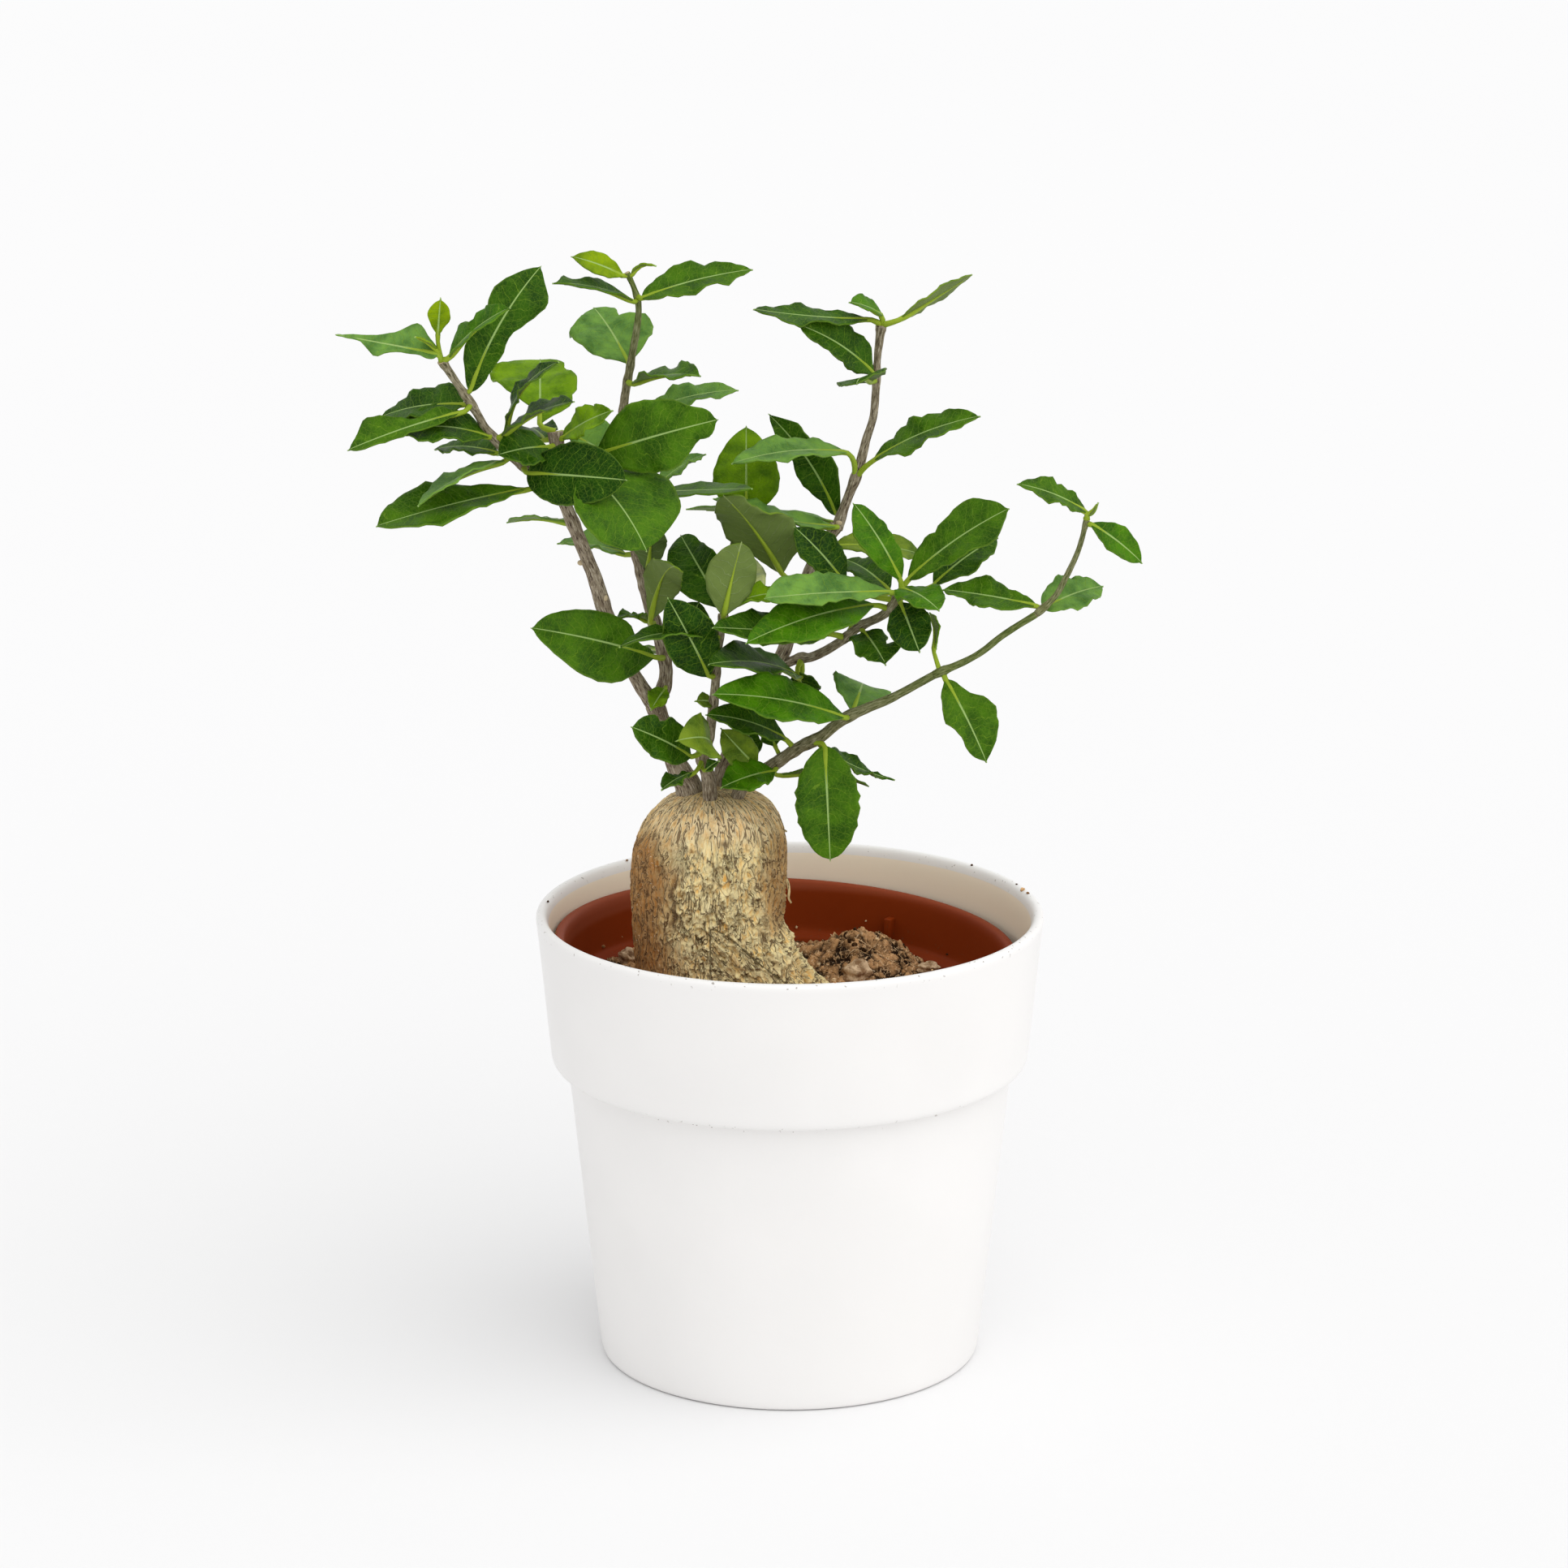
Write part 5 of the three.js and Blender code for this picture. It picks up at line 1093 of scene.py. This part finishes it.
        ((13, 20, 232), (-21, 6, 243), 13, (0, -0.2, 1), "pale", dict(bow=-0.04)),
        ((12, 20, 226.5), (37, 26, 222.5), 14, (0, -0.4, 1), "olive", {}),
        ((-2, 10, 221), (-18, -8, 247), 19, (0.1, 0.75, 0.5), "olive", dict(
            fold=14, wave=1.2, foot=(4, 19, 216), lobes=((1, 0.2, 3.6, 0.16), (1, 0.75, -3.5, 0.2)))),
        # the side branch
        ((30, -12, 222), (40, -30, 220), 13, (0.2, -0.6, 1), "vivid", dict(fold=5)),
        ((30, -11, 224), (17, -4, 244), 13, (0.5, -0.8, 0.4), "vivid", dict(
            wave=0.5, lobes=((-1, 0.55, -2.6, 0.35), (1, 0.7, 0.8, 0.2)))),
        ((32, -10, 224), (59, -16, 245), 17, (-0.3, -0.7, 0.8), "green", dict(
            end=0.45,
            lobes=((1, 0.44, -2.8, 0.13), (1, 0.75, 1.2, 0.15),
                   (-1, 0.38, -2.2, 0.18), (-1, 0.85, 2.4, 0.12)))),
        ((39, -4, 221), (57, 6, 232), 13, (-0.2, -0.6, 0.9), "deep", {}),
        ((28, -12, 221), (-7, -24, 222), 13, (0, -0.5, 1), "pale", dict(
            wave=0.8, bow=0.02, widest=0.55, end=0.4, scallop=0.35,
            lobes=((1, 0.5, -1.3, 0.35), (-1, 0.84, 2.2, 0.12), (-1, 0.4, 1.5, 0.12)))),
        ((23, -10, 217), (-12, -30, 211), 15, (0, -0.6, 1), "vivid", dict(lobes=((1, 0.55, 2.6, 0.35),))),
        ((11, -2, 207), (-21, -24, 214), 14, (0, -0.6, 1), "deep", dict(bow=0, fold=8)),
        ((20, -4, 208), (26, -18, 202), 12, (0, -0.5, 1), "deep", dict(
            wave=1.6, waves=1.4, lobes=((1, 0.5, -2.6, 0.1), (1, 0.82, 2.2, 0.12), (-1, 0.3, 1, 0.1)))),
        ((30, -12, 218), (35, -24, 207), 12, (0, -1, 0.2), "dark", dict(end=0.45, fold=8)),
        ((15, -6, 222), (1, 2, 236), 12, (0.3, -0.8, 0.6), "dark", dict(foot=(29, -9, 218))),
        ((27, -6, 220), (15, 14, 224), 12, (0, -0.3, 1), "deep", {}),
        ((17, 6, 208), (6, 26, 209), 13, (0, 0, 1), "deep", {}),
        ((2, 8, 194), (5, 16, 184), 10, (0, -1, -0.3), "dark", {}),
        ((3, 8, 192), (-22, -29, 205), 15, (0, -0.7, 1), "deep", dict(foot=(3, 11, 197))),
    ],
    "right": [
        ((79, -30, 247), (60, -36, 256), 10, (0.1, -0.5, 1), "green", {}),
        ((80, -30, 244), (94, -30, 233), 9, (0.5, -0.8, 0.6), "vivid", dict(wave=0.3)),
        ((79, -30, 246), (82, -31, 250), 2.4, (1, 0, 0), "olive", dict(wave=0, scallop=0)),
        ((68, -27, 220), (84.5, -18, 224), 13, (-0.1, -0.6, 1), "pale", dict(base=0.45, wave=1)),
        ((66, -28, 221), (41, -18, 223), 13, (0, -0.5, 1), "green", dict(
            bow=0.02, lobes=((1, 0.75, -2.3, 0.15), (1, 0.5, 1, 0.08), (-1, 0.3, -2, 0.2)))),
        ((39, -18, 206), (38, -6, 214), 6, (1, 0.2, 0), "young", dict(wave=0.2)),
        ((42, -21, 199), (53, -30, 178), 14, (0.2, -0.9, 0.5), "green", dict(
            scallop=0.3,
            lobes=((1, 0.6, 1.2, 0.25), (1, 0.22, -1.4, 0.12), (-1, 0.65, -2.4, 0.2), (-1, 0.3, -0.8, 0.07)))),
        ((17, -10, 187), (19, 14, 187), 17, (0.4, -0.1, 1), "pale", dict(bow=0.2, fold=0, end=0.4)),
        ((15, -16, 187), (-21, -30, 197), 16, (0, -0.7, 1), "vivid", dict(
            fold=10, lobes=((1, 0.56, 1.3, 0.1),))),
        ((-1, -9, 179), (-23, -17, 188), 12, (0, -0.6, 1), "deep", dict(bow=0.08)),
        ((9.5, -14, 178.5), (11, -24, 148.5), 17.5, (0, -0.95, 0.3), "green", dict(
            base=0.6, end=0.5, fold=8, wave=0.5, waves=4, scallop=0.4, foot=(5, -10, 178))),
        ((11, -8, 175), (29, 0, 165), 9, (0.5, -0.2, 1), "deep", dict(widest=0.3, end=1.6, bow=-0.05)),
        ((-3, -2, 167), (22, 8, 161), 8, (0, 0.3, 1), "deep", {}),
        ((-4, -9, 170), (-19, -18, 167.5), 12, (0, -0.6, 1), "vivid", {}),
        ((-4, -5, 176), (-6, 0, 180), 6, (0, -1, 0.4), "deep", dict(wave=0.2)),
        ((-9, -8, 171), (-19, -8, 182), 9, (-0.6, -0.3, 0.7), "olive", dict(fold=30)),
        ((-13, 0, 169), (-11, 4, 180), 8, (0.3, -1, 0.2), "deep", {}),
    ],
}
BLADE_HABIT = dict(
    widest=0.5, base=0.85, end=0.62, bow=0.06, sway=0, fold=12, wave=0.8, waves=2.4, scallop=0.15, lobes=()
)
BLADE_POINT = 0.8  # length of the tiny point at a blade's tip
BLADE_ACROSS, BLADE_ALONG = 14, 30
BLADE_THICKNESS = 0.45


def linear(colour):
    return tuple((c / 255 / 12.92) if c <= 10 else ((c / 255 + 0.055) / 1.055) ** 2.4 for c in colour)


def leaf_veins():
    """Masks of a leaf's midrib, side veins and fine net, from its own millimetres across and along."""
    group = bpy.data.node_groups.new("leaf_veins", "ShaderNodeTree")
    for name in ("Blade", "Habit"):
        group.interface.new_socket(name=name, in_out="INPUT", socket_type="NodeSocketVector")
    for name in ("Midrib", "Side veins", "Net", "Patches", "Edge"):
        group.interface.new_socket(name=name, in_out="OUTPUT", socket_type="NodeSocketFloat")
    given = group.nodes.new("NodeGroupInput")
    given_out = group.nodes.new("NodeGroupOutput")
    blade = shade_node(group, "ShaderNodeSeparateXYZ", {"Vector": given.outputs["Blade"]})
    habit = shade_node(group, "ShaderNodeSeparateXYZ", {"Vector": given.outputs["Habit"]})
    across = calc(group, "ABSOLUTE", blade.outputs[0])
    along, half = blade.outputs[1], blade.outputs[2]
    seed, length = habit.outputs[0], habit.outputs[2]
    share = calc(group, "DIVIDE", along, length)
    inputs = {0: blade.outputs[0], 1: along, 2: calc(group, "MULTIPLY", seed, 37)}
    place = shade_node(group, "ShaderNodeCombineXYZ", inputs).outputs[0]
    width = calc(group, "MULTIPLY_ADD", share, -0.34, 0.5)
    midrib = calc(group, "SUBTRACT", 1, ramp(group, calc(group, "DIVIDE", across, width), 0.45, 1.1))
    wander = grain_noise(group, place, 0.17, 3)
    lean = calc(group, "MULTIPLY_ADD", across, -0.42, along)
    lean = calc(group, "MULTIPLY_ADD", calc(group, "MULTIPLY", across, across), -0.03, lean)
    order = calc(group, "MULTIPLY_ADD", wander, 2.4, calc(group, "DIVIDE", lean, 2.7))
    # the veins of one half start between those of the other
    order = calc(group, "ADD", order, faded(group, calc(group, "GREATER_THAN", blade.outputs[0], 0), 0.45))
    order = calc(group, "ADD", order, calc(group, "MULTIPLY", seed, 5))
    near = calc(group, "ABSOLUTE", calc(group, "SUBTRACT", calc(group, "FRACT", order), 0.5))
    veins = ramp(group, near, 0.05, 0.012)
    edge = calc(group, "DIVIDE", across, calc(group, "MAXIMUM", half, 0.3))
    veins = calc(group, "MULTIPLY", veins, ramp(group, edge, 0.98, 0.7))
    inputs = {"Vector": place, "Scale": 0.9}
    cells = shade_node(group, "ShaderNodeTexVoronoi", inputs, feature="DISTANCE_TO_EDGE").outputs["Distance"]
    group.links.new(midrib, given_out.inputs["Midrib"])
    group.links.new(veins, given_out.inputs["Side veins"])
    group.links.new(ramp(group, cells, 0.1, 0.02), given_out.inputs["Net"])
    group.links.new(grain_noise(group, place, 0.16, 4, 0.6), given_out.inputs["Patches"])
    group.links.new(ramp(group, edge, 0.93, 1.0), given_out.inputs["Edge"])
    return group


veins_group = leaf_veins()


def leaf_inputs(tree):
    masks = shade_node(tree, "ShaderNodeGroup", node_tree=veins_group)
    tree.links.new(point_mark(tree, "blade", "Vector"), masks.inputs["Blade"])
    tree.links.new(point_mark(tree, "habit", "Vector"), masks.inputs["Habit"])
    return masks.outputs, point_mark(tree, "tone")


def leaf_upper():
    material, tree, shader = new_material("leaf_upper", IOR=1.45, Specular_IOR_Level=0.09)
    masks, tone = leaf_inputs(tree)
    patches = masks["Patches"]
    colour = painted(
        tree, tone,
        (ramp(tree, patches, 0.45, 0.66, 0, 0.8), (1.55, 1.42, 1.1), "MULTIPLY"),
        (ramp(tree, patches, 0.52, 0.34, 0, 0.8), (0.45, 0.56, 0.5), "MULTIPLY"),
        (faded(tree, masks["Net"], 0.16), (0.2, 0.34, 0.03)),
        (faded(tree, masks["Side veins"], 0.34), (0.24, 0.4, 0.03)),
        # the edge coat is a painted highlight: a lighter rim along the margin
        (faded(tree, masks["Edge"], 0.3), (0.22, 0.36, 0.04)),
        (faded(tree, masks["Midrib"], 0.85), (0.36, 0.52, 0.17)),
    )
    tree.links.new(colour, shader.inputs["Base Color"])
    tree.links.new(ramp(tree, patches, 0.3, 0.7, 0.33, 0.46), shader.inputs["Roughness"])
    relief = calc(tree, "MULTIPLY", masks["Side veins"], -0.6)
    relief = calc(tree, "MULTIPLY_ADD", masks["Net"], -0.15, relief)
    relief = calc(tree, "MULTIPLY_ADD", patches, 0.9, relief)
    relief = calc(tree, "MULTIPLY_ADD", masks["Midrib"], -0.5, relief)
    raise_bump(tree, shader, relief, 0.0004, 0.55)
    return material


def leaf_under():
    material, tree, shader = new_material("leaf_under", IOR=1.4, Roughness=0.62, Specular_IOR_Level=0.1)
    masks, tone = leaf_inputs(tree)
    colour = painted(
        tree, tone,
        (0.62, (0.16, 0.215, 0.075)),
        (ramp(tree, masks["Patches"], 0.35, 0.65, 0, 0.4), (1.3, 1.25, 1.2), "MULTIPLY"),
        (faded(tree, masks["Side veins"], 0.4), (0.3, 0.38, 0.17)),
        (faded(tree, masks["Net"], 0.15), (0.09, 0.14, 0.03)),
        (faded(tree, masks["Midrib"], 0.7), (0.36, 0.44, 0.17)),
    )
    tree.links.new(colour, shader.inputs["Base Color"])
    raise_bump(tree, shader, masks["Side veins"], 0.0003, 0.5)
    return material


def leaf_stalk():
    material, tree, shader = new_material("leaf_stalk", IOR=1.42, Roughness=0.45, Specular_IOR_Level=0.15)
    cloud = grain_noise(tree, object_place(tree), 400, 2)
    fresh = mixed(tree, cloud, (0.27, 0.4, 0.02), (0.4, 0.5, 0.045))
    tree.links.new(mixed(tree, 0.2, fresh, point_mark(tree, "tone")), shader.inputs["Base Color"])
    raise_bump(tree, shader, cloud, 0.0001, 0.4)
    return material


leaf_looks = [leaf_upper(), leaf_under(), leaf_stalk()]
deselect()
bpy.ops.mesh.primitive_grid_add(
    x_subdivisions=BLADE_ACROSS, y_subdivisions=BLADE_ALONG, size=2, calc_uvs=False
)
blank = bpy.context.object
blank.name = "blank_leaf"
for look in leaf_looks[:2]:
    blank.data.materials.append(look)


class Blade:
    """A leaf's blade in space: its row's own directions, and the place of any point on it."""

    def __init__(self, start, tip, breadth, face, habit):
        self.start, self.tip, self.breadth = Vector(start), Vector(tip), breadth
        self.forward = (self.tip - self.start).normalized()
        self.length = (self.tip - self.start).length
        face = Vector(face)
        self.up = (face - self.forward * face.dot(self.forward)).normalized()
        self.left = self.up.cross(self.forward)
        self.habit = {**BLADE_HABIT, **habit}

    def half(self, t, side):
        """From the midrib to the edge in mm. A blade is blunt, and ends in a tiny point."""
        if t <= 0 or t >= 1:
            return 0
        habit = self.habit
        body = 1 - BLADE_POINT / self.length
        point = 0.24 * min(1, 12 * t, (1 - t) / (1 - body))
        if t >= body:
            return point
        t /= body
        lean = math.log(0.5) / math.log(habit["widest"])
        power = habit["base"] if t < habit["widest"] else habit["end"]
        reach = self.breadth / 2 * math.sin(math.pi * t**lean) ** power
        middle = math.sin(math.pi * t)
        for lobe_side, place, push, share in habit["lobes"]:
            if lobe_side * side > 0:
                reach += push * math.exp(-(((t - place) / share) ** 2)) * min(1, 2 * middle)
        reach += habit["scallop"] * math.sin(1.5 * self.length * t + 1.9 * side + self.start.x) * middle
        return max(point, reach)

    def at(self, t, side):
        """The point at a share t of the length, and from -1 to 1 across."""
        habit = self.habit
        arch = 4 * t * (1 - t) * self.length
        half = self.half(t, side)
        phase = 2 * math.pi * habit["waves"] * t + 1.3 * side
        ripple = math.sin(phase) + 0.5 * math.sin(2.7 * phase + self.start.z)
        ripple += 0.22 * math.sin(6.3 * phase + self.tip.x)
        ripple *= habit["wave"] * math.sin(math.pi * t)
        rise = half * math.sin(math.radians(habit["fold"]))
        away = abs(side)
        lift = rise * (1.25 * away - 0.25 * away**2) + ripple * away**1.5
        midrib = self.start + self.forward * (t * self.length)
        midrib = midrib + self.left * (habit["sway"] * arch) + self.up * (habit["bow"] * arch)
        return midrib + self.left * (side * half) + self.up * lift


def leaf(row, wood, seed):
    """A blade and its stalk, as two loose objects to be joined with the rest of the stem's."""
    start, tip, breadth, face, tone, habit = row
    made = Blade(start, tip, breadth, face, habit)
    colour = linear(TONES[tone])
    piece = own_copy(blank)
    spots = []
    for vertex in piece.data.vertices:
        side = -vertex.co.x
        t = (1 - math.cos((vertex.co.y + 1) / 2 * math.pi)) / 2
        half = made.half(t, side or 1)
        spots.append((side * half, t * made.length, half))
        vertex.co = made.at(t, side) * MM
    mark_points(piece, "blade", spots)
    mark_points(piece, "habit", [(seed, 0, made.length)] * len(spots))
    mark_points(piece, "tone", [colour] * len(spots))
    pick(piece)
    bpy.ops.object.mode_set(mode="EDIT")
    bpy.ops.mesh.select_all(action="SELECT")
    bpy.ops.mesh.remove_doubles(threshold=1e-5)
    bpy.ops.object.mode_set(mode="OBJECT")
    thickness = BLADE_THICKNESS * MM
    apply_modifier(piece, "SOLIDIFY", thickness=thickness, offset=0, material_offset=1, material_offset_rim=0)

    foot = Vector(habit["foot"]) if "foot" in habit else min(wood, key=lambda p: (p - made.start).length)
    reach = max(1, (foot - made.start).length)
    if reach == 1:
        foot = made.start - made.forward
    bend = foot.lerp(made.start, 0.6) - made.forward * (0.12 * reach)
    rib = [made.at(t, 0) - made.up * 0.28 for t in (0.12, 0.3, 0.5, 0.7, 0.86)]
    line, length = smooth_line([foot, bend, made.start - made.up * 0.1, *rib], 1.8)
    thick = min(0.75, 0.3 + 0.045 * breadth)
    stalk_share = min(0.6, reach / length)

    def radius_at(share, turn):
        if share < stalk_share:
            return thick * (1.25 - 0.3 * share / stalk_share)
        past = (share - stalk_share) / (1 - stalk_share)
        return max(0.12, (thick * 0.95) * (1 - past) ** 1.6 + 0.34 * (1 - past) * min(1, past * 8))

    stalk = rolled("stalk", line, radius_at, 8, {"tone": lambda share, turn: colour})
    stalk.data.materials.append(leaf_looks[2])
    return piece, stalk, foot


for stem_name, rows in LEAVES.items():
    wood_lines = [smooth_line(branch[0], 0.9)[0] for branch in STEMS[stem_name]]
    wood_points = [point for line in wood_lines for point in line]
    parts, knots = [], []
    for number, row in enumerate(rows):
        piece, stalk, foot = leaf(row, wood_points, (number * 0.37 + len(rows) * 0.11) % 1)
        parts += [piece, stalk]
        knots.append(foot)
    foliage = joined(f"foliage_{stem_name}", parts)
    smooth(foliage)
    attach(foliage, "root")
    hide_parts(f"leafy_stem_{stem_name}")
    stem_wood(stem_name, knots)
bpy.data.objects.remove(blank)


# The plant stands on a plain, pale floor that runs back without a horizon, in a bright room with
# one large soft lamp high on the right.
def floor_paint():
    material, tree, shader = new_material("floor_paint", Roughness=1.0, Specular_IOR_Level=0)
    cloud = grain_noise(tree, object_place(tree), 0.8, 2)
    colour = mixed(tree, cloud, (0.835, 0.833, 0.837), (0.85, 0.849, 0.85))
    tree.links.new(colour, shader.inputs["Base Color"])
    return material


deselect()
bpy.ops.mesh.primitive_plane_add(size=24, location=(0, 6, 0))
floor = bpy.context.object
floor.name = "floor"
floor.data.materials.append(floor_paint())
settle(floor)

world = bpy.data.worlds.new("bright_room")
world.use_nodes = True
world.node_tree.nodes["Background"].inputs["Color"].default_value = (1, 1, 1, 1)
world.node_tree.nodes["Background"].inputs["Strength"].default_value = 0.84
bpy.context.scene.world = world

bpy.ops.object.light_add(type="SUN", location=(1, -0.6, 2))
lamp = bpy.context.object
lamp.name = "soft_lamp"
lamp.data.energy = 1.25
lamp.data.angle = math.radians(80)
lamp.rotation_euler = Vector((1.0, -0.9, 1.75)).to_track_quat("Z", "Y").to_euler()

bpy.context.scene.view_settings.view_transform = "Standard"
